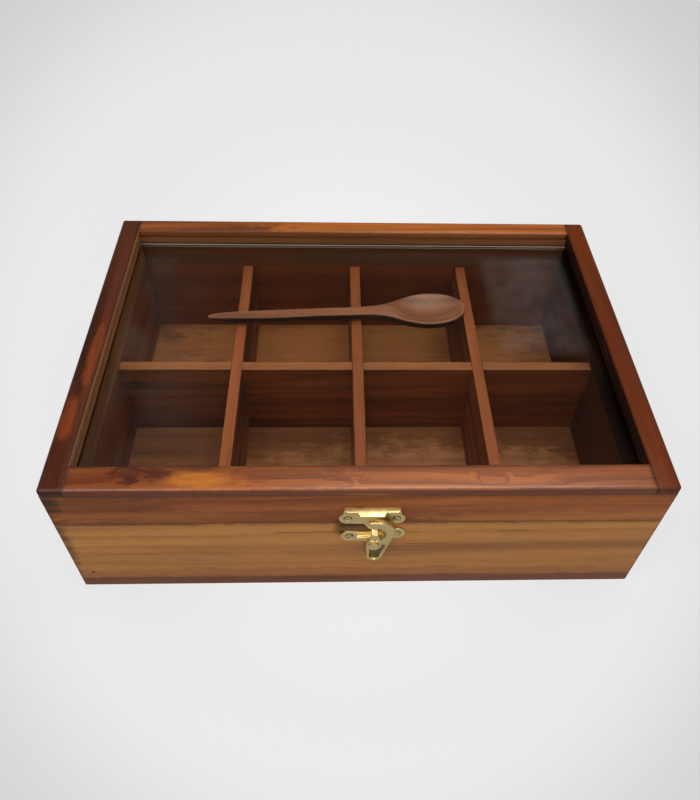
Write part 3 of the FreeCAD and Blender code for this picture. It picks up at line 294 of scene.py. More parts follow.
def makeGlass(name):
    material, tree, shader = newMaterial(name)
    place = addNode(tree, "ShaderNodeTexCoord").outputs["Object"]
    smear = noiseAt(tree, vectorCalc(tree, "MULTIPLY", place, (1.0, 0.25, 1.0)), 45.0, 4.0, 0.65)
    feed(tree, shader.inputs["Roughness"], fade(tree, smear, 0.5, 0.8, 0.0, 0.03))
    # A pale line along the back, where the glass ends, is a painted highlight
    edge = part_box("lid_back_wall")[0].y
    depth = addNode(tree, "ShaderNodeSeparateXYZ", {0: place}).outputs[1]
    pale = calc(tree, "MULTIPLY", fade(tree, depth, edge - 0.0015, edge - 0.0012),
                fade(tree, depth, edge - 0.0005, edge - 0.0008))
    feed(tree, shader.inputs["Base Color"], mixColours(tree, "MIX", pale, colour("#f1f7f3"), colour("#b9a894")))
    feed(tree, shader.inputs["Transmission Weight"], fade(tree, pale, 0.0, 1.0, 1.0, 0.25))
    shader.inputs["IOR"].default_value = 1.5
    shader.inputs["Specular IOR Level"].default_value = 0.2
    return material


def paint(node, material):
    item = nodes[node]
    if not item.material_slots:
        item.data.materials.append(material)
    for slot in item.material_slots:
        slot.material = material


# Boards

caseWood = {"light": "#a8723a", "mid": "#976538", "dark": "#6b3f1d", "streak": "#5a3a1e", "shine": 0.12,
            "coat": 0.05, "ringStrength": 0.28, "streakStrength": 0.35}
lidWood = {"light": "#955525", "mid": "#7a4220", "dark": "#542914", "streak": "#35180d", "shine": 0.12,
           "coat": 0.05}
railWood = {"light": "#b3662c", "mid": "#934f26", "dark": "#663218", "streak": "#411f10", "shine": 0.2,
            "coat": 0.3, "roughness": 0.32, "roundEdge": 0.003, "ringStrength": 0.6, "streakStrength": 0.6}
# Upward faces are lighter: painted light on the tops of the dividers
insideWood = {"light": "#9c5024", "mid": "#82421d", "dark": "#613215", "streak": "#3d1c0d", "coat": 0.05,
              "roughness": 0.55, "edgeStrength": 0.0, "faces": (((0, 0, 1), "#bb6233", 0.9),)}
wallTone = "#874520"
# Painted shadow of the latch plates, cast on the wood round the latch
latchShadowTone = "#2a1408"
boards = {
    "front_wall": ("X", {
        **caseWood, "seed": 0.0, "heart": (0.06, -0.035), "tilt": (0.02, 0.05),
        "faces": (((0, 1, 0), wallTone, 1.0),), "edgeWidth": 0.002,
        "spots": (((0.0, 0.0, -0.0200), (0.25, 0.03, 0.0060), 0.0, "#82502f", 0.8),
                  # Darker patch at the left end: partly dirt, partly painted shade at the corner
                  ((-0.1270, 0.0, 0.0100), (0.0050, 0.03, 0.030), 0.0, "#4a3120", 0.75),
                  # Painted shadow of the latch on the body's front, under the lid plate
                  ((-0.0025, -0.0060, 0.0190), (0.0105, 0.0035, 0.0075), 0.0, latchShadowTone, 1.0)),
        "cracks": ((0.0155, -0.040, -0.008, 0.75), (0.0161, 0.040, 0.048, 0.6), (0.0154, 0.055, 0.076, 0.7),
                   (0.0060, 0.016, 0.042, 0.5)),
        "lines": ((0.0225, -0.125, -0.055, 0.45),),
    }),
    "back_wall": ("X", {**caseWood, "seed": 3.1, "heart": (0.08, 0.03), "faces": (((0, -1, 0), wallTone, 1.0),)}),
    "left_wall": ("Y", {**caseWood, "seed": 5.3, "heart": (0.07, -0.02), "faces": (((1, 0, 0), wallTone, 1.0),)}),
    "right_wall": ("Y", {**caseWood, "seed": 7.7, "heart": (-0.07, 0.04), "faces": (((-1, 0, 0), "#64301a", 1.0),)}),
    "base_board": ("X", {
        "light": "#a2643c", "mid": "#8a5030", "dark": "#663a22", "streak": "#56301c", "seed": 9.2,
        "heart": (0.03, -0.16), "ringGap": 0.0085, "coat": 0.05, "roughness": 0.5, "shine": 0.12,
        "faces": (((0, -1, 0), "#6e4430", 1.0),),
        "spots": (((0.0, 0.060, 0.003), (0.14, 0.034, 0.02), 0.0, "#d08148", 0.7),
                  ((0.035, -0.050, 0.003), (0.110, 0.040, 0.02), 0.0, "#cf875c", 0.8),
                  ((-0.030, 0.042, 0.003), (0.028, 0.007, 0.01), 0.0, "#c46c24", 0.6)),
    }),
    # Its upward face is lighter: painted light on the top
    "long_divider": ("X", {
        **insideWood, "seed": 11.0, "heart": (0.05, 0.04), "faces": (((0, 0, 1), "#c07240", 0.9),)}),
    "cross_divider_left": ("Y", {**insideWood, "seed": 12.4, "heart": (0.05, 0.05)}),
    "cross_divider_middle": ("Y", {**insideWood, "seed": 13.9, "heart": (-0.05, 0.03)}),
    "cross_divider_right": ("Y", {**insideWood, "seed": 15.6, "heart": (0.06, -0.03)}),
    "lid_front_wall": ("X", {
        **lidWood, "seed": 2.6, "heart": (0.05, -0.06), "tilt": (0.02, 0.04),
        "faces": (((0, 1, 0), wallTone, 1.0),),
        "spots": (((-0.1050, 0.0, 0.0030), (0.035, 0.03, 0.012), 0.002, "#5a3018", 0.6),
                  ((0.0800, 0.0, -0.0070), (0.060, 0.03, 0.005), 0.0, "#a06a35", 0.6),
                  ((-0.0800, 0.0, -0.0040), (0.050, 0.03, 0.003), 0.0, "#8a5a28", 0.5),
                  # Darker patch at the left end: partly dirt, partly painted shade at the corner
                  ((-0.1270, 0.0, 0.0030), (0.0090, 0.03, 0.013), 0.0, "#382315", 0.9),
                  # Painted shadow of the latch on the lid's front, round the plate
                  ((-0.0025, -0.0060, -0.0085), (0.0080, 0.0035, 0.0022), 0.0, latchShadowTone, 0.85)),
    }),
    "lid_back_wall": ("X", {**lidWood, "seed": 4.4, "heart": (0.07, 0.05), "faces": (((0, -1, 0), "#75482a", 1.0),)}),
    "lid_left_wall": ("Y", {**lidWood, "seed": 6.2, "heart": (0.05, 0.06), "faces": (((1, 0, 0), "#96623f", 1.0),)}),
    # Its inner face is near black: painted shade
    "lid_right_wall": ("Y", {
        **lidWood, "seed": 8.5, "heart": (-0.06, 0.05), "faces": (((-1, 0, 0), "#1e0f09", 1.0),)}),
    # Its front face is darkened: painted shade under the rounded top edge
    "lid_front_rail": ("X", {
        **railWood, "seed": 17.1, "heart": (0.03, -0.05), "ringGap": 0.0042, "warp": 0.009, "coat": 0.4, "coatRoughness": 0.1,
        "faces": (((0, -1, 0), "#5a2a14", 0.85),),
        "spots": (((-0.1080, 0.0, 0.002), (0.024, 0.03, 0.02), 0.003, "#642c14", 0.9),
                  ((-0.0860, 0.0020, 0.002), (0.014, 0.006, 0.008), 0.004, "#3f1b10", 0.8),
                  ((-0.0650, 0.0055, 0.002), (0.009, 0.003, 0.006), 0.003, "#4a2212", 0.75),
                  ((-0.0650, -0.0010, 0.002), (0.014, 0.0045, 0.006), 0.0, "#c4762c", 0.85),
                  ((-0.0280, 0.0010, 0.002), (0.027, 0.0085, 0.006), 0.006, "#6e3418", 0.4),
                  ((0.1000, 0.0, 0.002), (0.030, 0.03, 0.02), 0.002, "#743816", 0.5),
                  ((0.0510, 0.0010, 0.002), (0.010, 0.004, 0.006), 0.004, "#7a3a20", 0.3)),
    }),
    "lid_back_rail": ("X", {
        **railWood, "light": "#c36f2c", "mid": "#a15726", "dark": "#6f3718", "seed": 19.8,
        "heart": (0.05, -0.06), "faces": (((0, -1, 0), "#6e3c16", 0.9),),
        "spots": (((-0.1020, 0.0, 0.002), (0.062, 0.03, 0.02), 0.002, "#6a3517", 0.9),)}),
    "lid_left_rail": ("Y", {
        **railWood, "light": "#5a2c18", "mid": "#441e0f", "dark": "#2f120a", "streak": "#220d07",
        "seed": 21.5, "heart": (0.02, -0.04), "warp": 0.011, "shine": 0.12, "coat": 0.2,
        "faces": (((1, 0, 0), "#a8784c", 0.9),),
        "spots": (((0.0200, -0.0030, 0.002), (0.090, 0.0030, 0.008), 0.002, "#6c3826", 0.5),
                  ((-0.0145, -0.0015, 0.002), (0.022, 0.0028, 0.008), 0.004, "#8c421a", 0.7),
                  ((-0.0530, 0.0010, 0.002), (0.014, 0.0036, 0.008), 0.005, "#8c4019", 0.7),
                  ((0.0013, 0.0030, 0.002), (0.030, 0.0022, 0.008), 0.002, "#26100a", 0.8)),
    }),
    # Its inner face is near black: painted shade
    "lid_right_rail": ("Y", {
        **railWood, "light": "#7d370e", "mid": "#64290a", "seed": 23.3, "heart": (0.04, -0.07), "shine": 0.1, "coat": 0.15,
        "faces": (((-1, 0, 0), "#221009", 0.9),)}),
}
for node, (axis, look) in boards.items():
    paint(node, makeWood(node + "_wood", node, axis, **look))
print("boards painted:", len(boards))

glass = makeGlass("clear_glass")
paint("lid_glass", glass)
steel = makeMetal("brad_steel", "#8f8b84", "#4c4641", 0.38)
for node in ("wall_brads", "base_brads", "lid_brads"):
    paint(node, steel)
brass = makeMetal("polished_brass", "#e6cb8c", "#94763a", 0.33, wear=0.25)
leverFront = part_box("latch_lever")[0].y
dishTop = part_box("latch_pivot_rivet")[0].z - 0.001
# Painted shade inside the lever's dish
dishBrass = makeMetal("dished_brass", "#e6cb8c", "#94763a", 0.26, recessShade=(leverFront + 0.0005, dishTop, "#160b03", 0.98),
                      roundEdge=0.0014)
screwBrass = makeMetal("screw_brass", "#e6cb8c", "#94763a", 0.26, worn=("grime", "#2c1c0c"))


# Finished pieces

def addPiece(name, mesh, body, replaced, smoothAngle=40):
    for polygon in mesh.polygons:
        polygon.use_smooth = True
    mesh.set_sharp_from_angle(angle=math.radians(smoothAngle))
    piece = bpy.data.objects.new(name, mesh)
    bpy.context.scene.collection.objects.link(piece)
    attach(piece, body)
    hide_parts(*replaced)
    return piece


def plainMesh(item):  # the evaluated shape of a helper object, which is then deleted
    bpy.context.view_layer.update()
    settled = item.evaluated_get(bpy.context.evaluated_depsgraph_get())
    mesh = bpy.data.meshes.new_from_object(settled)
    bpy.data.objects.remove(item)
    return mesh


def softened(node, name, width, material):
    work = bmesh.new()
    work.from_mesh(nodes[node].data)
    bmesh.ops.remove_doubles(work, verts=work.verts, dist=1e-6)
    bmesh.ops.dissolve_limit(work, angle_limit=math.radians(0.8), verts=work.verts, edges=work.edges)
    mesh = bpy.data.meshes.new(name)
    work.to_mesh(mesh)
    work.free()
    helper = bpy.data.objects.new(name + "_helper", mesh)
    bpy.context.scene.collection.objects.link(helper)
    bevel = helper.modifiers.new("edges", "BEVEL")
    bevel.width, bevel.segments, bevel.limit_method = width, 3, "ANGLE"
    bevel.angle_limit = math.radians(35)
    mesh = plainMesh(helper)
    mesh.materials.clear()
    mesh.materials.append(material)
    return addPiece(name, mesh, nodes[node]["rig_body"], [node])


edgeWidths = {
    "latch_lid_plate": 0.0003, "latch_body_plate": 0.0003, "latch_lever": 0.0006,
    "hinge_left_body_leaf": 0.0001, "hinge_left_lid_leaf": 0.0001, "hinge_right_body_leaf": 0.0001,
    "hinge_right_lid_leaf": 0.0001, "hinge_left_pin": 0.0001, "hinge_right_pin": 0.0001,
}
for node, width in edgeWidths.items():
    softened(node, node + "_brass", width, dishBrass if node == "latch_lever" else brass)
print("brass plates softened:", len(edgeWidths))


# Screws: one tree makes a slotted head, and sets it at each point

screwLook = {"head radius": 1.8, "shank radius": 1.0, "countersink": 0.8, "dome": 0.42,
             "slot width": 0.5, "slot depth": 0.75, "length": 7.5}


def screwTree(look, material):
    tree = bpy.data.node_groups.new("slottedScrews", "GeometryNodeTree")
    tree.interface.new_socket("Points", in_out="INPUT", socket_type="NodeSocketGeometry")
    for name, size in look.items():
        socket = tree.interface.new_socket(name, in_out="INPUT", socket_type="NodeSocketFloat")
        socket.default_value = size
    tree.interface.new_socket("Screws", in_out="OUTPUT", socket_type="NodeSocketGeometry")
    given = addNode(tree, "NodeGroupInput")
    out = addNode(tree, "NodeGroupOutput")

    def ask(operation, *sources):
        return calc(tree, operation, *sources)

    def lifted(geometry, height, scale=(1.0, 1.0, 1.0)):
        offset = addNode(tree, "ShaderNodeCombineXYZ", {"Z": height})
        return addNode(tree, "GeometryNodeTransform", {
            "Geometry": geometry, "Translation": offset.outputs[0], "Scale": scale}).outputs[0]

    cone = addNode(tree, "GeometryNodeMeshCone", {
        "Vertices": 28, "Radius Top": given.outputs["head radius"],
        "Radius Bottom": given.outputs["shank radius"], "Depth": given.outputs["countersink"]})
    head = lifted(cone.outputs[0], ask("MULTIPLY", given.outputs["countersink"], -1.0))
    ball = addNode(tree, "GeometryNodeMeshUVSphere", {
        "Segments": 28, "Rings": 14, "Radius": given.outputs["head radius"]})
    flat = addNode(tree, "ShaderNodeCombineXYZ", {
        "X": 0.985, "Y": 0.985, "Z": ask("DIVIDE", given.outputs["dome"], given.outputs["head radius"])})
    dome = lifted(ball.outputs[0], -0.02, flat.outputs[0])
    shank = addNode(tree, "GeometryNodeMeshCone", {
        "Vertices": 20, "Radius Top": given.outputs["shank radius"], "Radius Bottom": 0.1,
        "Depth": given.outputs["length"]})
    shank = lifted(shank.outputs[0], ask("MULTIPLY", given.outputs["length"], -1.0))
    whole = addNode(tree, "GeometryNodeMeshBoolean", operation="UNION")
    for part in (head, dome, shank):
        tree.links.new(part, whole.inputs["Mesh 2"])
    slotSize = addNode(tree, "ShaderNodeCombineXYZ", {
        "X": ask("MULTIPLY", given.outputs["head radius"], 2.4), "Y": given.outputs["slot width"],
        "Z": ask("MULTIPLY", given.outputs["slot depth"], 2.0)})
    slot = addNode(tree, "GeometryNodeMeshCube", {"Size": slotSize.outputs[0]})
    slot = lifted(slot.outputs[0], ask("ADD", given.outputs["dome"], 0.05))
    cut = addNode(tree, "GeometryNodeMeshBoolean", {"Mesh 1": whole.outputs[0], "Mesh 2": slot}, operation="DIFFERENCE")
    # Dirt in the slot and round the edge of the head
    spot = addNode(tree, "ShaderNodeSeparateXYZ", {0: addNode(tree, "GeometryNodeInputPosition").outputs[0]}).outputs
    reach = ask("SQRT", ask("ADD", ask("MULTIPLY", spot[0], spot[0]), ask("MULTIPLY", spot[1], spot[1])))
    rim = fade(tree, ask("DIVIDE", reach, given.outputs["head radius"]), 0.72, 0.95, 0.0, 0.9)
    sunk = fade(tree, spot[2], 0.1, -0.3, 0.0, 0.95)
    stored = addNode(tree, "GeometryNodeStoreNamedAttribute", {
        "Geometry": cut.outputs[0], "Name": "grime", "Value": ask("MAXIMUM", rim, sunk)},
        data_type="FLOAT", domain="POINT")
    turn = addNode(tree, "GeometryNodeInputNamedAttribute", {"Name": "turn"}, data_type="FLOAT_VECTOR")
    spread = addNode(tree, "GeometryNodeInstanceOnPoints", {
        "Points": given.outputs["Points"], "Instance": stored.outputs[0],
        "Rotation": turn.outputs["Attribute"], "Scale": (mm, mm, mm)})
    real = addNode(tree, "GeometryNodeRealizeInstances", {"Geometry": spread.outputs[0]})
    coated = addNode(tree, "GeometryNodeSetMaterial", {"Geometry": real.outputs[0], "Material": material})
    tree.links.new(coated.outputs[0], out.inputs[0])
    return tree


screws = screwTree(screwLook, screwBrass)


def setScrews(name, body, groups):
    # groups: CAD node, outward direction, slot angles in degrees
    points, turns = [], []
    for node, outward, angles in groups:
        islands = looseParts(node)
        for (low, high), angle in zip(islands, angles):
            centre = (low + high) / 2
            face = Vector([high[i] if outward[i] > 0 else low[i] if outward[i] < 0 else centre[i] for i in range(3)])
            points.append(face)
            quaternion = Vector(outward).to_track_quat("Z", "Y")
            turns.append((quaternion.to_matrix() @ Matrix.Rotation(math.radians(angle), 3, "Z")).to_euler())
    mesh = bpy.data.meshes.new(name)
    mesh.from_pydata(points, [], [])
    layer = mesh.attributes.new("turn", "FLOAT_VECTOR", "POINT")
    for entry, turn in zip(layer.data, turns):
        entry.vector = turn
    helper = bpy.data.objects.new(name + "_helper", mesh)
    bpy.context.scene.collection.objects.link(helper)
    modifier = helper.modifiers.new("screws", "NODES")
    modifier.node_group = screws
    for socket in screws.interface.items_tree:
        if socket.in_out == "INPUT" and socket.name in screwLook:
            modifier[socket.identifier] = screwLook[socket.name]
    mesh = plainMesh(helper)
    return addPiece(name, mesh, body, [group[0] for group in groups], 30)


def looseParts(node):  # lowest and highest corner of each solid in a group, from left to right
    work = bmesh.new()
    work.from_mesh(nodes[node].data)
    bmesh.ops.remove_doubles(work, verts=work.verts, dist=1e-6)
    left, parts = set(work.verts), []
    while left:
        stack, seen = [left.pop()], []
        while stack:
            vert = stack.pop()
            seen.append(vert.co.copy())
            for edge in vert.link_edges:
                other = edge.other_vert(vert)
                if other in left:
                    left.remove(other)
                    stack.append(other)
        parts.append((Vector([min(p[i] for p in seen) for i in range(3)]),
                      Vector([max(p[i] for p in seen) for i in range(3)])))
    work.free()
    return sorted(parts, key=lambda part: part[0].x)


setScrews("box_screws", "box", [
    ("latch_body_screws", (0, -1, 0), (35, -20)), ("hinge_body_screws", (0, 0, 1), (10, 70, -35, 50))])
setScrews("lid_screws", "lid", [
    ("latch_lid_screws", (0, -1, 0), (15, -40)), ("hinge_lid_screws", (0, 0, -1), (80, 25, -15, 60))])
print("screws set")


# Rivet: a domed head over a collar, turned round its axis

rivetLook = {"headRadius": 2.45, "domeHeight": 0.2, "headHeight": 0.35, "neckRadius": 1.9, "neckHeight": 0.52,
             "collarRadius": 2.6, "collarHeight": 0.8, "shankRadius": 1.3, "steps": 48}


def makeRivet(look):
    low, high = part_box("latch_pivot_rivet")
    centre = (low + high) / 2
    length = (high.y - low.y) / mm
    profile = [(0.0, 0.0)]
    for step in range(1, 7):
        angle = step / 6 * math.pi / 2
        profile.append((look["headRadius"] * math.sin(angle), look["domeHeight"] * (1 - math.cos(angle))))
    profile += [
        (look["headRadius"], look["headHeight"]), (look["neckRadius"], look["headHeight"]),
        (look["neckRadius"], look["neckHeight"]), (look["collarRadius"], look["neckHeight"]),
        (look["collarRadius"], look["collarHeight"]), (look["shankRadius"], look["collarHeight"]),
        (look["shankRadius"], length), (0.0, length)]
    work = bmesh.new()
    verts = [work.verts.new((r * mm, d * mm, 0)) for r, d in profile]
    edges = [work.edges.new(pair) for pair in zip(verts, verts[1:])]
    bmesh.ops.spin(work, geom=verts + edges, cent=(0, 0, 0), axis=(0, 1, 0), angle=2 * math.pi,
                   steps=look["steps"], use_duplicate=False)
    bmesh.ops.remove_doubles(work, verts=work.verts, dist=1e-7)
    bmesh.ops.recalc_face_normals(work, faces=work.faces)
    bmesh.ops.translate(work, verts=work.verts, vec=(centre.x, low.y, centre.z))
    mesh = bpy.data.meshes.new("latch_rivet")
    work.to_mesh(mesh)
    work.free()
    mesh.materials.append(brass)
    return addPiece("latch_rivet", mesh, "box", ["latch_pivot_rivet"])


makeRivet(rivetLook)
print("rivet turned")


# Spoon: carved rings along its length, with a hollow bowl

spoonLook = {
    "length": 135.0, "angle": 3.4, "end": (57.9, 39.0), "top": 56.9,
    "hollow": 3.4, "hollowStart": 0.728, "hollowEnd": 0.982, "rimWidth": 1.5,
    # share of the length, half width, depth below the top, rise of the top
    "stations": (
        (0.0, 0.8, 1.5, -0.9), (0.015, 1.5, 3.2, -0.5), (0.05, 2.25, 4.4, -0.2), (0.09, 2.5, 5.2, 0.0),
        (0.14, 2.7, 5.5, -0.1), (0.21, 3.0, 5.3, -0.4), (0.28, 3.2, 5.1, -0.5), (0.35, 3.05, 5.3, -0.3),
        (0.42, 2.9, 5.5, -0.1), (0.49, 3.05, 5.55, -0.2), (0.56, 3.0, 5.6, -0.3), (0.61, 3.2, 5.7, -0.2),
        (0.65, 3.8, 5.9, 0.0), (0.68, 4.7, 6.3, 0.0), (0.71, 6.1, 6.8, 0.0), (0.735, 7.9, 7.3, 0.0),
        (0.76, 9.4, 7.8, 0.0), (0.79, 10.9, 8.2, 0.0), (0.82, 11.9, 8.5, 0.0), (0.85, 12.4, 8.7, 0.0),
        (0.88, 12.3, 8.5, 0.0), (0.91, 11.6, 8.2, 0.0), (0.935, 10.4, 7.7, 0.0), (0.955, 8.9, 7.2, 0.0),
        (0.972, 7.2, 6.6, -0.1), (0.986, 5.3, 5.8, -0.2), (0.996, 3.0, 4.6, -0.5)),
}


def makeSpoon(look):
    work = bmesh.new()
    middle = (look["hollowStart"] + look["hollowEnd"]) / 2
    halfHollow = (look["hollowEnd"] - look["hollowStart"]) / 2
    rings = []
    for share, half, depth, rise in look["stations"]:
        points = []
        for step in range(9):  # under side, from one edge to the other
            angle = math.pi * step / 8
            side, down = math.cos(angle), math.sin(angle)
            y = half * math.copysign(abs(side) ** 0.75, side)
            points.append((y, -depth * down ** 0.85 if down > 0.01 else -0.35))
        for step in range(7):  # top, back again
            y = half * (-0.87 + 1.74 * step / 6)
            reach = max(half - look["rimWidth"], 0.5)
            inside = 1 - ((share - middle) / halfHollow) ** 2 - (y / 10.9) ** 2
            dip = look["hollow"] * inside ** 0.7 if inside > 0 else 0.0
            points.append((y, rise - min(dip, max(0.0, (reach - abs(y)) * 2.5)) + 0.12 * (1 - (y / half) ** 2)))
        rings.append([work.verts.new((share * look["length"], y, z)) for y, z in points])
    for ring, following in zip(rings, rings[1:]):
        for number in range(len(ring)):
            after = (number + 1) % len(ring)
            work.faces.new((ring[number], following[number], following[after], ring[after]))
    work.faces.new(rings[0])
    work.faces.new(rings[-1][::-1])
    bmesh.ops.recalc_face_normals(work, faces=work.faces)
    turn = Matrix.Rotation(math.radians(look["angle"]), 4, "Z")
    reach = turn @ Vector((look["length"], 0, 0))
    place = Matrix.Translation((look["end"][0] - reach.x, look["end"][1] - reach.y, look["top"]))
    bmesh.ops.transform(work, matrix=Matrix.Scale(mm, 4) @ place @ turn, verts=work.verts)
    mesh = bpy.data.meshes.new("carved_spoon_cage")
    work.to_mesh(mesh)
    work.free()
    helper = bpy.data.objects.new("carved_spoon_helper", mesh)
    bpy.context.scene.collection.objects.link(helper)
    smooth = helper.modifiers.new("smooth", "SUBSURF")
    smooth.levels = smooth.render_levels = 2
    mesh = plainMesh(helper)
    mesh.materials.clear()
    # The spoon's front and under sides are darkened: painted shade
    mesh.materials.append(makeWood(
        "spoon_wood", "spoon", "X", light="#bd7550", mid="#a05f40", dark="#76402a", streak="#552a1a",
        ringGap=0.0035, heart=(0.01, -0.03), seed=27.0, faces=(((0, -0.9, -0.43), "#30190f", 0.9),), edgeStrength=0.0, coat=0.2, fibreStrength=0.2))
    return addPiece("carved_spoon", mesh, "spoon", ["spoon"], 180)


makeSpoon(spoonLook)
print("spoon carved")


# Floor, light and camera

studio = {
    "floorTone": "#e6e6e6", "glow": 0.78, "floorTones": ("#f8f8f8", "#eeeeee", "#d2d2d2"),
    "toneSteps": ((0.35, 0.8), (0.9, 1.45)), "floorMirrored": 0.45,
    "fill": 0.42, "seen": 0.92, "mirrored": 0.35, "mirroredBack": 0.03, "mirroredLeft": 0.28, "mirroredPatch": 0.3,
    "softbox": 4.4,
    "lamps": (
        # name, place, size, power, aimed at
        ("key", (-0.55, -0.55, 1.15), (0.7, 0.7), 7.5, (0, 0, 0.03)),
        ("front", (0.35, -1.3, 0.55), (0.9, 0.9), 4.5, (0, -0.08, 0.03)),
        ("top", (0.25, 0.1, 1.2), (0.5, 0.5), 2.5, (0.0, 0.0, 0.07)),
    ),
    "camera": {"place": (-0.012129, -0.249946, 0.313609), "pitch": -0.84102, "roll": 0.04329, "yaw": -0.05845,
               "lens": 727.798 / 800 * 36, "shift": (-0.01468, -0.00966)},
}


def rayKinds(tree):  # rays that see the background as it is, and rays that a surface has mirrored
    rays = addNode(tree, "ShaderNodeLightPath").outputs
    straight = calc(tree, "LESS_THAN", rays["Diffuse Depth"], 0.5)
    through = calc(tree, "MULTIPLY", rays["Is Transmission Ray"], straight)
    unturned = calc(tree, "LESS_THAN", rays["Glossy Depth"], 0.5)
    seen = calc(tree, "MAXIMUM", rays["Is Camera Ray"], calc(tree, "MULTIPLY", through, unturned))
    turned = calc(tree, "MULTIPLY", through, calc(tree, "SUBTRACT", 1.0, unturned))
    return seen, calc(tree, "MAXIMUM", rays["Is Glossy Ray"], turned)


def makeFloor():
    work = bmesh.new()
    bmesh.ops.create_grid(work, x_segments=1, y_segments=1, size=4.0)
    mesh = bpy.data.meshes.new("floor")
    work.to_mesh(mesh)
    work.free()
    floor = bpy.data.objects.new("floor", mesh)
    floor.location = (0, 0, -0.00005)
    bpy.context.scene.collection.objects.link(floor)
    material, tree, shader = newMaterial("pale_floor")
    shader.inputs["Base Color"].default_value = colour(studio["floorTone"])
    shader.inputs["Roughness"].default_value = 0.9
    shader.inputs["Specular IOR Level"].default_value = 0.1
    seen, reflected = rayKinds(tree)
    # Brightest round the box and darker far from it; the reach widens with the distance
    place = addNode(tree, "ShaderNodeSeparateXYZ", {0: addNode(tree, "ShaderNodeTexCoord").outputs["Object"]}).outputs
    wide = calc(tree, "ADD", calc(tree, "MULTIPLY", place[1], 0.32), 0.193)
    sideways = calc(tree, "DIVIDE", place[0], wide)
    lengthways = calc(tree, "MULTIPLY", calc(tree, "SUBTRACT", calc(tree, "DIVIDE", 0.2, wide), 1.0), 2.08)
    both = addNode(tree, "ShaderNodeCombineXYZ", {"X": sideways, "Y": lengthways, "Z": 0.0}).outputs[0]
    away = vectorCalc(tree, "LENGTH", both)
    near, middle, far = (colour(text) for text in studio["floorTones"])
    tone = mixColours(tree, "MIX", fade(tree, away, *studio["toneSteps"][0]), near, middle)
    tone = mixColours(tree, "MIX", fade(tree, away, *studio["toneSteps"][1]), tone, far)
    glow = addNode(tree, "ShaderNodeEmission", {"Color": tone, "Strength": 1.0})
    mirrored = addNode(tree, "ShaderNodeEmission", {"Color": (1, 1, 1, 1), "Strength": studio["floorMirrored"]})
    both = addNode(tree, "ShaderNodeMixShader", {
        0: calc(tree, "MULTIPLY", seen, studio["glow"]), 1: shader.outputs[0], 2: glow.outputs[0]})
    both = addNode(tree, "ShaderNodeMixShader", {
        0: reflected, 1: both.outputs[0], 2: mirrored.outputs[0]})
    tree.links.new(both.outputs[0], tree.nodes["Material Output"].inputs["Surface"])
    mesh.materials.append(material)


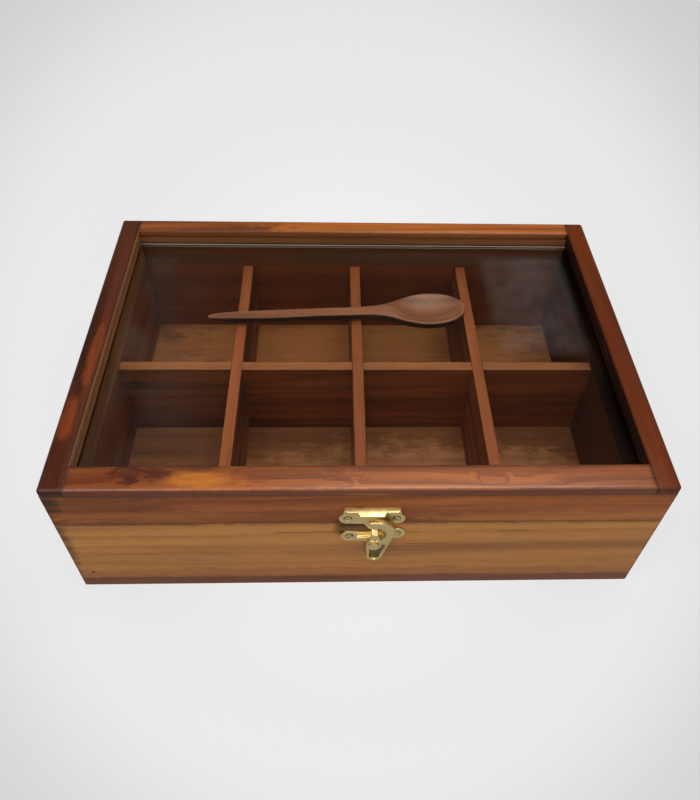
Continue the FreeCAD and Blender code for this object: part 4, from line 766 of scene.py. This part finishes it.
def makeSky():
    world = bpy.data.worlds.new("studio")
    bpy.context.scene.world = world
    world.use_nodes = True
    tree = world.node_tree
    background = tree.nodes["Background"]
    seen, reflected = rayKinds(tree)
    toward = addNode(tree, "ShaderNodeSeparateXYZ", {0: addNode(tree, "ShaderNodeTexCoord").outputs["Generated"]}).outputs
    side = calc(tree, "DIVIDE", toward[0], calc(tree, "MAXIMUM", toward[2], 0.01))
    back = calc(tree, "DIVIDE", toward[1], calc(tree, "MAXIMUM", toward[2], 0.01))

    def window(source, start, end, soft):
        return calc(tree, "MULTIPLY", fade(tree, source, start - soft, start + soft),
                    fade(tree, source, end + soft, end - soft))

    # What the glass mirrors towards the camera lies behind the box, and is dark
    behind = calc(tree, "MULTIPLY", fade(tree, toward[1], 0.1, 0.4), fade(tree, toward[2], 0.15, 0.4))
    mirrored = fade(tree, behind, 0.0, 1.0, studio["mirrored"], studio["mirroredBack"])
    # Pale clouds in it, to the left and in a patch to the right
    place = tree.nodes["Texture Coordinate"].outputs["Generated"]
    cloud = fade(tree, noiseAt(tree, place, 9.0, 4.0, 0.6), 0.35, 0.7)
    patch = calc(tree, "MULTIPLY", window(side, 0.33, 0.5, 0.02), window(back, 1.0, 1.3, 0.02))
    patch = calc(tree, "MULTIPLY", patch, fade(tree, noiseAt(tree, place, 24.0, 5.0, 0.7), 0.3, 0.65, 0.3, 1.0))
    cloud = calc(tree, "MULTIPLY", cloud, fade(tree, side, -0.15, -0.45, 0.0, studio["mirroredLeft"]))
    cloud = calc(tree, "ADD", cloud, calc(tree, "MULTIPLY", patch, studio["mirroredPatch"]))
    mirrored = calc(tree, "ADD", mirrored, calc(tree, "MULTIPLY", behind, cloud))
    # A soft box overhead and to the front, which edges and brass mirror
    box = calc(tree, "MULTIPLY", fade(tree, back, 0.70, 0.66), fade(tree, toward[1], -0.6, -0.1))
    box = calc(tree, "MULTIPLY", box, window(toward[0], -0.08, 0.40, 0.06))
    mirrored = calc(tree, "ADD", mirrored, calc(tree, "MULTIPLY", box, studio["softbox"]))
    other = calc(tree, "SUBTRACT", 1.0, calc(tree, "MAXIMUM", seen, reflected))
    strength = calc(tree, "ADD", calc(tree, "MULTIPLY", seen, studio["seen"]),
                    calc(tree, "MULTIPLY", reflected, mirrored))
    strength = calc(tree, "ADD", strength, calc(tree, "MULTIPLY", other, studio["fill"]))
    feed(tree, background.inputs["Strength"], strength)
    background.inputs["Color"].default_value = (1, 1, 1, 1)


def makeLamps():
    for name, place, size, power, aim in studio["lamps"]:
        lamp = bpy.data.lights.new(name, "AREA")
        lamp.shape, lamp.energy = "RECTANGLE", power
        lamp.size, lamp.size_y = size
        item = bpy.data.objects.new(name, lamp)
        item.location = place
        item.rotation_euler = (Vector(place) - Vector(aim)).to_track_quat("Z", "Y").to_euler()
        bpy.context.scene.collection.objects.link(item)


def makeCamera(view):
    camera = bpy.data.cameras.new("camera")
    camera.lens, camera.sensor_width = view["lens"], 36.0
    camera.shift_x, camera.shift_y = view["shift"]
    camera.clip_start = 0.01
    item = bpy.data.objects.new("camera", camera)
    item.matrix_world = (
        Matrix.Translation(view["place"]) @ Matrix.Rotation(view["yaw"], 4, "Z")
        @ Matrix.Rotation(math.pi / 2 + view["pitch"], 4, "X") @ Matrix.Rotation(view["roll"], 4, "Z"))
    bpy.context.scene.collection.objects.link(item)
    bpy.context.scene.camera = item


makeFloor()
makeSky()
makeLamps()
makeCamera(studio["camera"])
bpy.context.scene.view_settings.view_transform = "Standard"
print("studio set")
